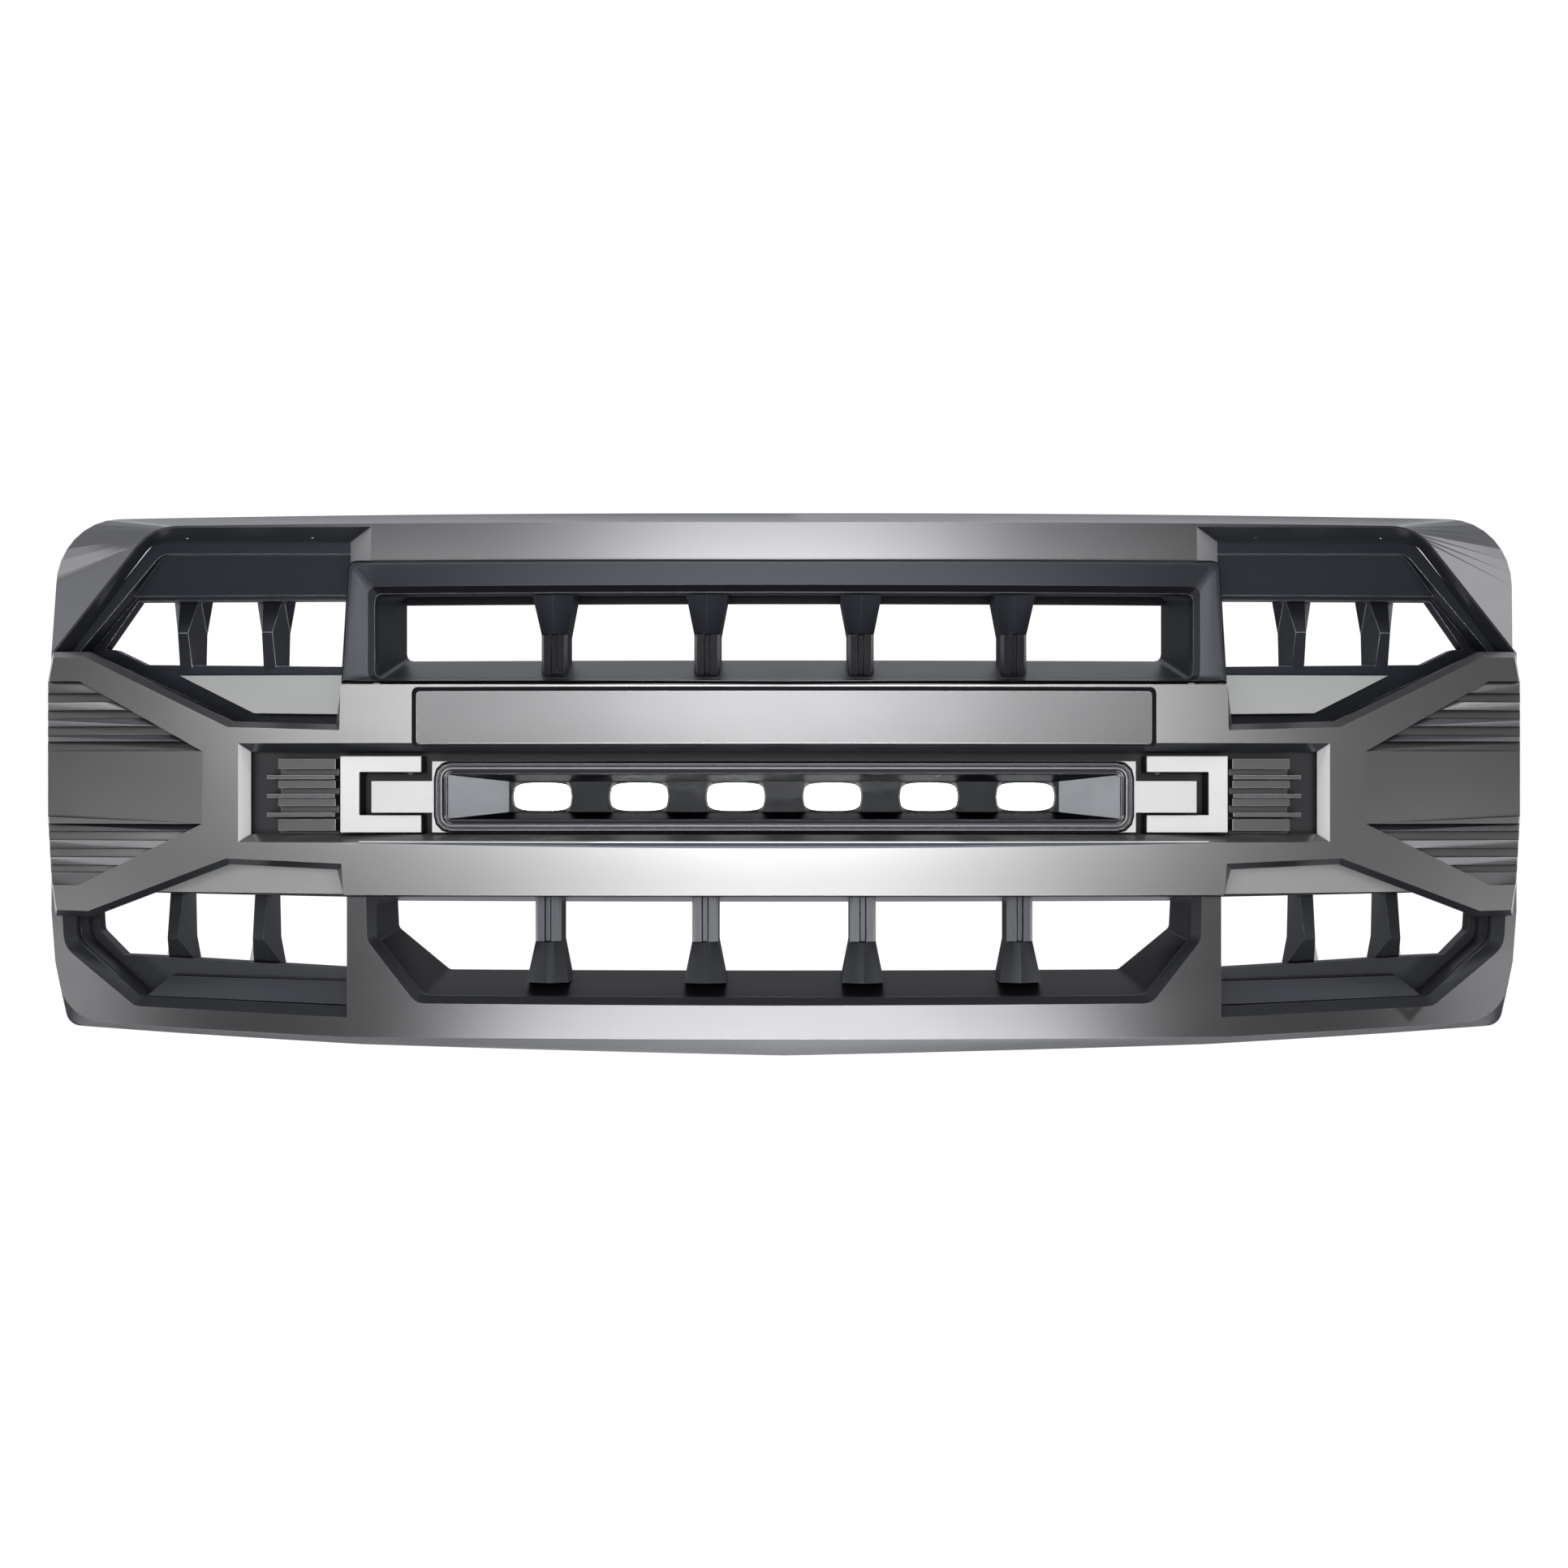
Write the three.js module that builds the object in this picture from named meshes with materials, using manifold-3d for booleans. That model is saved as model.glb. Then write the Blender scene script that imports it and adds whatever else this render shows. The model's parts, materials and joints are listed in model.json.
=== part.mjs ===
// Front grille of a pickup truck, with a tilting light bar, as a three.js scene graph in millimetres.
//
// Every piece is designed in a flat design space: x to the viewer's right, y up, z towards the viewer, with
// z = 0 on the rear plane. The mouldings of the grille are then bowed, so that their ends sweep back, and the
// lamps stay straight. The exported group turns the design space upright: +Z is up and the front of the grille
// faces -Y. Its origin is the middle of the rear face of the centre locating post, on the mounting plane.
import * as THREE from "three";
import { mergeVertices } from "three/addons/utils/BufferGeometryUtils.js";
import Module from "manifold-3d";

const wasm = await Module();
wasm.setup();

// ---------------------------------------------------------------- driving dimensions
const HALF_WIDTH = 556;
const TOP = 213;
const BOTTOM = -195;
const ORIGIN_HEIGHT = 197; // of the centre locating post above the light bar's axis
const SWEEP = 50; // how far the ends sit behind the middle
const BOW_BANDS = 5; // flat bands from the middle to each end
const WALL = 3;
const GAP = 0.4; // between neighbouring mouldings
const OVERCUT = 0.01; // by which a flush cut passes the face it opens

// Heights above the rear edge of the bowed mouldings.
const PLATE_FRONT = 74;
const PLATE_REAR = PLATE_FRONT - WALL;
const SKIRT_MIDDLE = 38;
const BELT_FRONT = 86;
const BELT_EDGE = 79; // foot of the belt's outer chamfer
const BELT_REAR = PLATE_FRONT + GAP;
const FRAME_FRONT = 82;
const WINDOW_LEDGE = 60;
const CORNER_BACK = 35;
const DUCT_BACK = 5;

// Straight parts are placed from the rear plane: 0 is the mounting plane of the whole grille.
const TRAY_FRONT = 91;
const TRAY_REAR = TRAY_FRONT - WALL;
const BAR_FRONT = 118;
const BAR_HALF_LENGTH = 252;
const BAR_HALF_HEIGHT = 25.7;
const LAMP_FRONT = 114;
const LED_COUNT = 6;
const LED_PITCH = 70.3;
const CUP_RADIUS = 22.8;
const CUP_HALF_HEIGHT = 10.5;
const PIVOT_HEIGHT = 92; // distance of the aiming axis from the mounting plane
const UPPER_FIN_PITCH = 112.5;
const LOWER_FIN_PITCH = 115.5;
const FIN_COUNT = 4;

// ---------------------------------------------------------------- materials
const finish = (color, roughness, metalness) =>
  new THREE.MeshStandardMaterial({ color, roughness, metalness });
const graphite = finish(0x3b3d41, 0.42, 0.25);
const darkPlastic = finish(0x22242a, 0.5, 0.1);
const silver = finish(0xc9cacb, 0.4, 0.5);
const blackMetal = finish(0x1b1c1e, 0.55, 0.6);
const zinc = finish(0xa9acb0, 0.35, 0.9);
const diffuser = finish(0xe6e6e4, 0.45, 0.0);
const clearLens = finish(0xdfe6ea, 0.1, 0.0);
const mirrorCup = finish(0xd8dadc, 0.12, 0.95);
const board = finish(0x1d4a33, 0.6, 0.0);
const rubber = finish(0x151515, 0.85, 0.0);

// ---------------------------------------------------------------- outlines
// Corner points [x, y], [x, y, radius] or [x, y, radius, steps] become a list of points. Each radius is drawn as
// an arc of straight steps.
const ARC_STEPS = 3;
const LARGE_ARC_STEPS = 8;
function outline(corners) {
  const points = [];
  corners.forEach(([x, y, radius, steps = ARC_STEPS], i) => {
    const corner = new THREE.Vector2(x, y);
    if (!radius) {
      points.push(corner);
      return;
    }
    const [px, py] = corners[(i + corners.length - 1) % corners.length];
    const [nx, ny] = corners[(i + 1) % corners.length];
    const toPrevious = new THREE.Vector2(px, py).sub(corner).normalize();
    const toNext = new THREE.Vector2(nx, ny).sub(corner).normalize();
    const half = Math.acos(THREE.MathUtils.clamp(toPrevious.dot(toNext), -1, 1)) / 2;
    const bisector = toPrevious.clone().add(toNext).normalize();
    const centre = corner.clone().addScaledVector(bisector, radius / Math.sin(half));
    const start = corner.clone().addScaledVector(toPrevious, radius / Math.tan(half)).sub(centre);
    const end = corner.clone().addScaledVector(toNext, radius / Math.tan(half)).sub(centre);
    const turn = Math.atan2(start.cross(end), start.dot(end));
    for (let k = 0; k <= steps; k++) {
      points.push(start.clone().rotateAround(new THREE.Vector2(), (turn * k) / steps).add(centre));
    }
  });
  return points;
}

// The right half, listed from the top middle to the bottom middle, becomes the whole outline.
const bothHalves = (rightHalf) => [
  ...rightHalf,
  ...rightHalf.filter(([x]) => x > 0).reverse().map(([x, ...rest]) => [-x, ...rest]),
];

const rectangle = (halfX, halfY, x = 0, y = 0, radius = 0) => [
  [x - halfX, y - halfY, radius],
  [x + halfX, y - halfY, radius],
  [x + halfX, y + halfY, radius],
  [x - halfX, y + halfY, radius],
];

// Moves each side of an outline inwards by a distance, or outwards if it is negative.
function inset(points, distance) {
  const inwards = THREE.ShapeUtils.area(points) > 0 ? 1 : -1;
  return points.map((point, i) => {
    const before = point.clone().sub(points[(i + points.length - 1) % points.length]).normalize();
    const after = points[(i + 1) % points.length].clone().sub(point).normalize();
    const normal = new THREE.Vector2(-before.y - after.y, before.x + after.x).normalize();
    const miter = normal.x * -before.y + normal.y * before.x;
    return point.clone().addScaledVector(normal, (inwards * distance) / miter);
  });
}

// ---------------------------------------------------------------- solids
const SAME_POINT = 1e-3; // points closer than this are one point

function toSolid(geometry) {
  const bare = geometry.clone();
  bare.deleteAttribute("normal");
  bare.deleteAttribute("uv");
  const merged = mergeVertices(bare, SAME_POINT);
  const vertProperties = new Float32Array(merged.attributes.position.array);
  const triVerts = new Uint32Array(merged.index.array);
  return new wasm.Manifold(new wasm.Mesh({ numProp: 3, vertProperties, triVerts }));
}

function toGeometry(solid) {
  const mesh = solid.getMesh();
  const geometry = new THREE.BufferGeometry();
  geometry.setAttribute("position", new THREE.BufferAttribute(new Float32Array(mesh.vertProperties), 3));
  geometry.setIndex(new THREE.BufferAttribute(new Uint32Array(mesh.triVerts), 1));
  return geometry;
}

// A prism between two heights.
function prism(points, rear, front) {
  const shape = new THREE.Shape(points);
  const geometry = new THREE.ExtrudeGeometry(shape, { depth: front - rear, bevelEnabled: false });
  return toSolid(geometry.translate(0, 0, rear));
}

// A prism whose rear and front heights are each one number, or a list with one number for each corner.
function slopedPrism(points, rear, front) {
  const geometry = new THREE.ExtrudeGeometry(new THREE.Shape(points), { depth: 1, bevelEnabled: false });
  const position = geometry.attributes.position;
  for (let i = 0; i < position.count; i++) {
    const heights = position.getZ(i) > 0.5 ? front : rear;
    const [x, y] = [position.getX(i), position.getY(i)];
    const corner = points.findIndex((p) => Math.hypot(p.x - x, p.y - y) < SAME_POINT);
    position.setZ(i, Array.isArray(heights) ? heights[corner] : heights);
  }
  return toSolid(geometry);
}

// A solid through matching rings of [x, y, z] points. The end rings are closed off as seen along one axis.
function skin(rings, axis) {
  const count = rings[0].length;
  const last = (rings.length - 1) * count;
  const index = [];
  for (let level = 0; level + 1 < rings.length; level++) {
    for (let i = 0; i < count; i++) {
      const a = level * count + i;
      const b = level * count + ((i + 1) % count);
      index.push(a, b, b + count, a, b + count, a + count);
    }
  }
  // A cap's triangles may come out turned either way round, so each is matched to the turn of its ring.
  const [u, v] = [(axis + 1) % 3, (axis + 2) % 3];
  const capOf = (ring) => {
    const flat = ring.map((p) => new THREE.Vector2(p[u], p[v]));
    const triangles = THREE.ShapeUtils.triangulateShape(flat, []);
    return triangles.map(([a, b, c]) => {
      const sameTurn = THREE.ShapeUtils.area([flat[a], flat[b], flat[c]]) * THREE.ShapeUtils.area(flat) > 0;
      return sameTurn ? [a, b, c] : [a, c, b];
    });
  };
  capOf(rings[0]).forEach(([a, b, c]) => index.push(c, b, a));
  capOf(rings.at(-1)).forEach(([a, b, c]) => index.push(last + a, last + b, last + c));
  const geometry = new THREE.BufferGeometry();
  geometry.setAttribute("position", new THREE.Float32BufferAttribute(rings.flat(2), 3));
  geometry.setIndex(index);
  const solid = toSolid(geometry);
  return solid.volume() > 0 ? solid : skin(rings.map((ring) => [...ring].reverse()), axis);
}

// A solid through matching outlines, given as [height, points] from the rear to the front.
const loft = (...layers) => skin(layers.map(([height, points]) => points.map((p) => [p.x, p.y, height])), 2);

const box = (x0, x1, y0, y1, z0, z1) => {
  const geometry = new THREE.BoxGeometry(x1 - x0, y1 - y0, z1 - z0);
  return toSolid(geometry.translate((x0 + x1) / 2, (y0 + y1) / 2, (z0 + z1) / 2));
};

// A cylinder about an axis "x", "y" or "z", centred on a point.
function rod(axis, radius, length, [x, y, z], sides = 12) {
  const geometry = new THREE.CylinderGeometry(radius, radius, length, sides);
  if (axis === "x") geometry.rotateZ(Math.PI / 2);
  if (axis === "z") geometry.rotateX(Math.PI / 2);
  return toSolid(geometry.translate(x, y, z));
}

const join = (first, ...others) => others.reduce((sum, solid) => sum.add(solid), first);
const cut = (first, ...others) => others.reduce((rest, solid) => rest.subtract(solid), first);

// The same solid on the other side of the middle plane.
function mirrored(solid) {
  const geometry = toGeometry(solid);
  geometry.scale(-1, 1, 1);
  const { array } = geometry.index;
  for (let i = 0; i < array.length; i += 3) {
    [array[i], array[i + 1]] = [array[i + 1], array[i]];
  }
  return toSolid(geometry);
}
const bothSides = (solid) => [solid, mirrored(solid)];

// ---------------------------------------------------------------- the bow
// The bow is a parabola drawn with flat bands, so that two pieces that clear each other when flat also clear
// each other when bowed.
const BAND = HALF_WIDTH / BOW_BANDS;
const sweepAtBand = (band) => SWEEP * (band / BOW_BANDS) ** 2;
function sweepAt(x) {
  const band = Math.min(Math.floor(Math.abs(x) / BAND), BOW_BANDS);
  const share = Math.abs(x) / BAND - band;
  return THREE.MathUtils.lerp(sweepAtBand(band), sweepAtBand(band + 1), share);
}

// Splits each triangle [a, b, c] where it crosses the plane at x.
function splitAt(x, triangles) {
  const crossing = (a, b) => {
    const [low, high] = a.x < b.x ? [a, b] : [b, a];
    return low.clone().lerp(high, (x - low.x) / (high.x - low.x)).setX(x);
  };
  const side = (p) => (Math.abs(p.x - x) < 1e-4 ? 0 : Math.sign(p.x - x));
  return triangles.flatMap(([a, b, c]) => {
    const sides = [side(a), side(b), side(c)];
    if (!sides.includes(1) || !sides.includes(-1)) return [[a, b, c]];
    const onPlane = sides.indexOf(0);
    if (onPlane >= 0) {
      const [p, q, r] = [a, b, c, a, b].slice(onPlane, onPlane + 3);
      const m = crossing(q, r);
      return [[p, q, m], [p, m, r]];
    }
    const alone = sides.findIndex((s) => sides.filter((t) => t === s).length === 1);
    const [p, q, r] = [a, b, c, a, b].slice(alone, alone + 3);
    const m = crossing(p, q);
    const n = crossing(p, r);
    return [[p, m, n], [m, q, r], [m, r, n]];
  });
}

// Bows a flat solid: z = 0 becomes the swept rear edge, SWEEP in front of the mounting plane in the middle.
function bowed(solid) {
  const { array } = toGeometry(solid).toNonIndexed().attributes.position;
  let triangles = [];
  for (let i = 0; i < array.length; i += 9) {
    triangles.push([0, 3, 6].map((k) => new THREE.Vector3(...array.slice(i + k, i + k + 3))));
  }
  for (let band = -BOW_BANDS; band <= BOW_BANDS; band++) {
    triangles = splitAt(band * BAND, triangles);
  }
  const points = triangles.flat().map((p) => p.clone().setZ(p.z + SWEEP - sweepAt(p.x)));
  return toSolid(new THREE.BufferGeometry().setFromPoints(points));
}

// ---------------------------------------------------------------- outlines of the mouldings
const SURROUND_FRONT = bothHalves([
  [0, 197], [464, 198.5, 40, LARGE_ARC_STEPS], [542, 106], [542, -84], [539, -122],
  [530, -164, 34, LARGE_ARC_STEPS], [468, -168], [321, -174], [0, -174],
]);
const SURROUND_MIDDLE = bothHalves([
  [0, 207.5], [551, 209, 50, LARGE_ARC_STEPS], [552, 106], [552, -84], [550, -122],
  [542, -173, 12, LARGE_ARC_STEPS], [468, -176], [321, -181], [0, -184.5],
]);
const SURROUND_REAR = bothHalves([
  [0, TOP], [HALF_WIDTH, TOP + 1, 50, LARGE_ARC_STEPS], [HALF_WIDTH, 106], [HALF_WIDTH, -84], [554, -122],
  [547, -178, 8, LARGE_ARC_STEPS], [468, -182], [321, -188.5], [0, BOTTOM],
]);

// The belt's front face: name bar above, lower bar below, a bow-tie arm at each end.
const BELT_FACE = bothHalves([
  [0, 79.5], [319, 81, 2], [320, 48], [403, 50.5], [511.5, 102], [536, 102], [539.5, 84], [539.5, -14],
  [536.5, -64], [533.5, -83], [509, -83.5], [404, -44.5], [318.5, -48], [317, -70.5, 2], [0, -70],
]);
const BELT_FOOT = bothHalves([
  [0, 80.3], [319.6, 81.9, 2], [324, 52.5], [402, 55], [510.5, 106.5], [539, 106.5], [543, 84], [543, -14],
  [540, -64], [536.5, -87.5], [508, -88], [403, -49], [323, -52.5], [318, -72, 2], [0, -71.5],
]);
const RECESS = rectangle(395, 35.8, 0, 3);
const RECESS_FOOT = rectangle(388, 30, 0, 2.8);
const NAME_PLATE = { halfX: 264.7, halfY: 19.6, y: 56.9, radius: 3.4, groove: 2.4, chamfer: 0.9 };

// A corner window, right-hand side. Its lower edge is hidden under the belt.
const UPPER_WINDOW = [
  [317, 186.3], [467, 188.3, 20, LARGE_ARC_STEPS], [534.5, 105], [512, 98], [403, 46], [317, 43],
];
const UPPER_WINDOW_FACE = [
  [299, 195.6], [463, 197.1, 38, LARGE_ARC_STEPS], [540.6, 105.2], [512, 98], [403, 46], [299, 43],
];
const LOWER_WINDOW = [
  [526, -78], [524.5, -107, 14], [475, -147.5, 8], [317, -153.5], [317, -44], [404, -40], [512, -78],
];
const LOWER_WINDOW_FACE = [
  [534, -78], [532, -111, 18], [477, -153.8, 10], [317, -160], [317, -44], [404, -40], [512, -78],
];

// The upper centre opening, as [front edge, foot of its chamfer].
const UPPER_OPENING = [rectangle(300.5, 33.9, 0, 117.9, 6), rectangle(296, 30.6, 0, 116, 5)];
// The lower centre opening, as [front edge, foot of its chamfer, rear edge].
const LOWER_OPENING = [
  bothHalves([[0, -60], [303, -60], [302, -104, 12], [266, -149.3, 12], [0, -149.8]]),
  bothHalves([[0, -66], [297, -66], [296, -103, 9], [262, -144.3, 9], [0, -144.6]]),
  bothHalves([[0, -79], [292, -79], [291, -99, 5], [252, -130.5, 5], [0, -130.5]]),
];

// ---------------------------------------------------------------- outer surround
const TAB_X = [150, 400]; // top mounting tabs
const TAB = { halfWidth: 22, y0: 205.5, y1: 208.5, rear: 4 };
const BOSSES = [{ x: 130, y0: -178.8 }, { x: 390, y0: -174.6 }]; // lower mounting bosses
const BOSS = { halfWidth: 14, y1: -158, rear: 0, front: 100 };
// Posts whose flat rear ends rest on the body's crossmembers.
const STOP_HALF_WIDTH = 10;
const CENTRE_STOP = { x: 0, y0: ORIGIN_HEIGHT - 10, y1: ORIGIN_HEIGHT + 10, front: 36 };
const UPPER_STOP = { x: 275, y0: ORIGIN_HEIGHT - 10, y1: ORIGIN_HEIGHT + 10, front: 36 };
const LOWER_STOP = { x: 260, y0: -179.4, y1: -161.4, front: 42 };
// Screws that hold the corner inserts, in the flange of each.
const UPPER_SCREWS = [[345, 190.6], [440, 191.6]];
const LOWER_SCREWS = [[345, -159.2], [440, -156.3]];

function outerSurround() {
  const [front, middle, rear] = [SURROUND_FRONT, SURROUND_MIDDLE, SURROUND_REAR].map(outline);
  const outside = loft([0, rear], [SKIRT_MIDDLE, middle], [PLATE_FRONT, front]);
  const inside = loft(
    [-1, inset(rear, WALL)], [SKIRT_MIDDLE, inset(middle, WALL)], [PLATE_REAR, inset(front, WALL)],
  );
  // The window edges fold back as far as the ledge, so the hollow stops short of them.
  const fold = (window) => prism(inset(outline(window), -WALL), WINDOW_LEDGE, PLATE_FRONT);
  const windowFold = (face) => bothSides(fold(face).intersect(outside));
  const folds = [UPPER_WINDOW_FACE, LOWER_WINDOW_FACE].flatMap(windowFold);
  const lowerFold = fold(LOWER_OPENING[0]);
  const shell = join(cut(outside, inside), ...folds, lowerFold);

  // A window is straight behind its chamfer, which starts at the given height.
  const windowCut = (foot, face, chamferFoot) => loft(
    [WINDOW_LEDGE - 1, outline(foot)], [chamferFoot, outline(foot)], [PLATE_FRONT + OVERCUT, outline(face)],
  );
  const screwHole = ([x, y]) => rod("z", 1.7, 8, [x, y, WINDOW_LEDGE], 8);
  return cut(
    shell,
    ...bothSides(windowCut(UPPER_WINDOW, UPPER_WINDOW_FACE, WINDOW_LEDGE)),
    ...bothSides(windowCut(LOWER_WINDOW, LOWER_WINDOW_FACE, PLATE_FRONT - 8)),
    windowCut(LOWER_OPENING[1], LOWER_OPENING[0], PLATE_FRONT - 8),
    prism(outline(rectangle(301, 38, 0, 118)), WINDOW_LEDGE - 1, PLATE_FRONT + 1),
    prism(outline(rectangle(394, 36.5, 0, 3)), WINDOW_LEDGE - 1, PLATE_FRONT + 1),
    ...[...UPPER_SCREWS, ...LOWER_SCREWS].flatMap((place) => bothSides(screwHole(place))),
  );
}

// Tabs and bosses run straight back to the mounting plane, so they join the surround after it is bowed.
function mountingPoints() {
  const tabs = TAB_X.flatMap((x) => {
    const tab = box(x - TAB.halfWidth, x + TAB.halfWidth, TAB.y0, TAB.y1, TAB.rear, 80 - sweepAt(x));
    return bothSides(cut(tab, rod("y", 4.2, 20, [x, TAB.y0, TAB.rear + 14])));
  });
  const bosses = BOSSES.flatMap(({ x, y0 }) => {
    const { halfWidth, y1, rear } = BOSS;
    const front = BOSS.front - sweepAt(x);
    const boss = box(x - halfWidth, x + halfWidth, y0, y1, rear, front);
    const inner = halfWidth - WALL;
    const hollow = box(x - inner, x + inner, y0 + WALL, y1 - WALL, rear + WALL, front - 8);
    const side = box(x - 6, x + 6, y0 - 1, y0 + 5, rear + 6, rear + 24);
    return bothSides(cut(boss, hollow, side));
  });
  const stop = ({ x, y0, y1, front }) =>
    box(x - STOP_HALF_WIDTH, x + STOP_HALF_WIDTH, y0, y1, 0, front + SWEEP - sweepAt(x));
  const pairs = [UPPER_STOP, LOWER_STOP].flatMap((place) => bothSides(stop(place)));
  return [...tabs, ...bosses, stop(CENTRE_STOP), ...pairs];
}

// ---------------------------------------------------------------- upper frame
const DISH = 2.6; // by which the frame's face falls back towards its opening

function upperFrame() {
  const face = outline(bothHalves([[0, 167.8], [313, 168.6, 4], [318, 84.2], [0, 82.6]]));
  const foot = inset(face, -2.2);
  const body = loft([PLATE_FRONT + GAP, foot], [FRAME_FRONT - 4, foot], [FRAME_FRONT, face]);
  const [edge, step] = UPPER_OPENING.map(outline);
  const brim = outline([[-315.8, 83.4, 3], [315.8, 83.4, 3], [311, 166.6, 3], [-311, 166.6, 3]]);
  const opening = loft(
    [PLATE_FRONT, step], [FRAME_FRONT - 8, step], [FRAME_FRONT - DISH, edge], [FRAME_FRONT + OVERCUT, brim],
  );
  const lip = cut(
    prism(inset(step, -3.6), WINDOW_LEDGE, PLATE_FRONT + GAP + 0.1),
    prism(step, WINDOW_LEDGE - 1, PLATE_FRONT + 2),
  );
  const beltRoom = prism(inset(outline(BELT_FOOT), -GAP), BELT_REAR - GAP, FRAME_FRONT + 1);
  return cut(join(cut(body, opening), lip), beltRoom);
}

// ---------------------------------------------------------------- cross belt
const LOUVRE_TIP_X = 422;
const END_SLOPE = 5; // how far the flat facet between the louvres falls back towards the end

// The floor of one triangular pocket of louvre blades, from the tip to the outer corner, as steps of [share of
// the height, depth at the slanted edge]. A blade slopes, and the floor between two blades lies deeper still.
const UPPER_LOUVRES = [
  [0, 8], [0.13, 10.2], [0.145, 1.4], [0.22, 4.2], [0.23, 7.6], [0.345, 8.2], [0.36, 1.6], [0.46, 4.6],
  [0.47, 7.6], [0.575, 8.2], [0.59, 1.6], [0.7, 4.6], [0.71, 7], [0.82, 7.6], [0.835, 1.4], [1, 4],
];
const LOWER_LOUVRES = [
  [0, 5.6], [0.12, 1.6], [0.135, 8.2], [0.265, 7.4], [0.275, 4.6], [0.395, 1.6], [0.41, 8.2],
  [0.54, 7.4], [0.55, 4.6], [0.67, 1.6], [0.685, 7.6], [0.785, 6.8], [0.795, 4.2], [1, 1.4],
];
const OUTER_DEPTH_SHARE = 0.3; // of a louvre's depth, kept at the end of the belt

function louvrePocket(steps, tipY, outerY, kneeX) {
  const { lerp } = THREE.MathUtils;
  const inner = steps.map(([share, depth]) => [
    lerp(LOUVRE_TIP_X, kneeX, share), lerp(tipY, outerY, share), BELT_FRONT - depth,
  ]);
  const outer = steps.map(([share, depth]) => [
    HALF_WIDTH, lerp(tipY, outerY, share), BELT_FRONT - END_SLOPE / 2 - depth * OUTER_DEPTH_SHARE,
  ]);
  const closed = (floor) => {
    const lift = ([x, y]) => [x, y, BELT_FRONT + 1];
    return [...floor, lift(floor.at(-1)), lift(floor[0])];
  };
  return skin([closed(inner), closed(outer)], 0);
}

function crossBelt() {
  const face = outline(BELT_FACE);
  const foot = outline(BELT_FOOT);
  const body = loft([BELT_REAR, foot], [BELT_EDGE, foot], [BELT_FRONT, face]);
  const recessFoot = outline(RECESS_FOOT);
  const recess = loft(
    [BELT_REAR - 1, recessFoot], [BELT_EDGE - 3, recessFoot], [BELT_FRONT + OVERCUT, outline(RECESS)],
  );
  const { halfX, halfY, y, radius, groove } = NAME_PLATE;
  const pocketEdge = rectangle(halfX + groove, halfY + groove, 0, y, radius + 1);
  const platePocket = prism(outline(pocketEdge), BELT_FRONT - 4 - GAP, BELT_FRONT + 1);
  const endHeight = BELT_FRONT - END_SLOPE;
  const facet = slopedPrism(
    outline([[LOUVRE_TIP_X, -19.6], [HALF_WIDTH, -14], [HALF_WIDTH, 36.8], [LOUVRE_TIP_X, 33.1]]),
    [BELT_FRONT, endHeight, endHeight, BELT_FRONT], BELT_FRONT + 1,
  );
  const pockets = [
    louvrePocket(UPPER_LOUVRES, 33.1, 84.6, 516),
    louvrePocket(LOWER_LOUVRES, -19.6, -64.8, 517),
  ];
  // The bars are hollow behind, and solid behind the louvres.
  const hollow = cut(
    prism(outline(BELT_FACE), BELT_REAR - 1, BELT_FRONT - 4 - WALL),
    prism(outline(rectangle(391, 33, 0, 2.8)), BELT_REAR - 2, BELT_FRONT),
    box(LOUVRE_TIP_X - WALL, 600, -120, 120, BELT_REAR - 2, BELT_FRONT),
    box(-600, WALL - LOUVRE_TIP_X, -120, 120, BELT_REAR - 2, BELT_FRONT),
    ...[-240, -80, 80, 240].map((x) => box(x - 1, x + 1, -120, 120, BELT_REAR - 2, BELT_FRONT)),
  );
  return cut(body, recess, platePocket, hollow, ...[facet, ...pockets].flatMap(bothSides));
}

function namePlate() {
  const { halfX, halfY, y, radius, chamfer } = NAME_PLATE;
  const edge = outline(rectangle(halfX, halfY, 0, y, radius));
  const face = outline(rectangle(halfX - chamfer, halfY - chamfer, 0, y, radius - chamfer));
  return loft([BELT_FRONT - 4, edge], [BELT_FRONT - 1.2 - GAP, edge], [BELT_FRONT - GAP, face]);
}

// ---------------------------------------------------------------- fins
// A fin is a skin over sections at several heights. Each section has a rear half width and a front profile of
// [offset from the middle, height] points.
const finSection = (x, y, rear, halfWidth, profile) =>
  [[-halfWidth, rear], [halfWidth, rear], ...profile].map(([u, z]) => [x + u, y, z]);

// A front profile with both halves alike, from the right-hand edge over the middle to the left-hand edge.
const evenProfile = (rightHalf, middle) => [
  ...rightHalf, [0, middle], ...[...rightHalf].reverse().map(([u, z]) => [-u, z]),
];

// Two ribs with a groove between them run down the stem of a centre fin. Its flare has one ridge.
function centreFin({ x, stemY, neckY, flareY, stemFront, flareFront }) {
  const rear = DUCT_BACK + 2;
  const groove = stemFront - 2;
  const stem = evenProfile([[9.6, stemFront - 4], [7.6, stemFront], [2.6, stemFront], [1.6, groove]], groove);
  const flareAt = (halfWidth, front) => evenProfile(
    [[1, 6], [0.7, 4], [0.4, 2], [0.2, 1]].map(([share, drop]) => [halfWidth * share, front - drop]), front,
  );
  const step = Math.sign(flareY - neckY);
  return skin([
    finSection(x, stemY, rear, 9.6, stem), finSection(x, neckY, rear, 9.6, stem),
    finSection(x, neckY + step, rear, 9.8, flareAt(9.8, stemFront + 1)),
    finSection(x, flareY, rear, 15.5, flareAt(15.5, flareFront)),
  ], 1);
}

// A corner fin tapers to a narrow front, which stands out furthest at the neck.
function cornerFin({ x, stemY, neckY, flareY }) {
  const rear = 14;
  const front = (halfWidth, height) => [[halfWidth, height], [-halfWidth, height]];
  return skin([
    finSection(x, stemY, rear, 9.8, front(5, 32)), finSection(x, neckY, rear, 10.6, front(4, 44)),
    finSection(x, flareY, rear, 15.8, front(7.8, 24)),
  ], 1);
}

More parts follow.
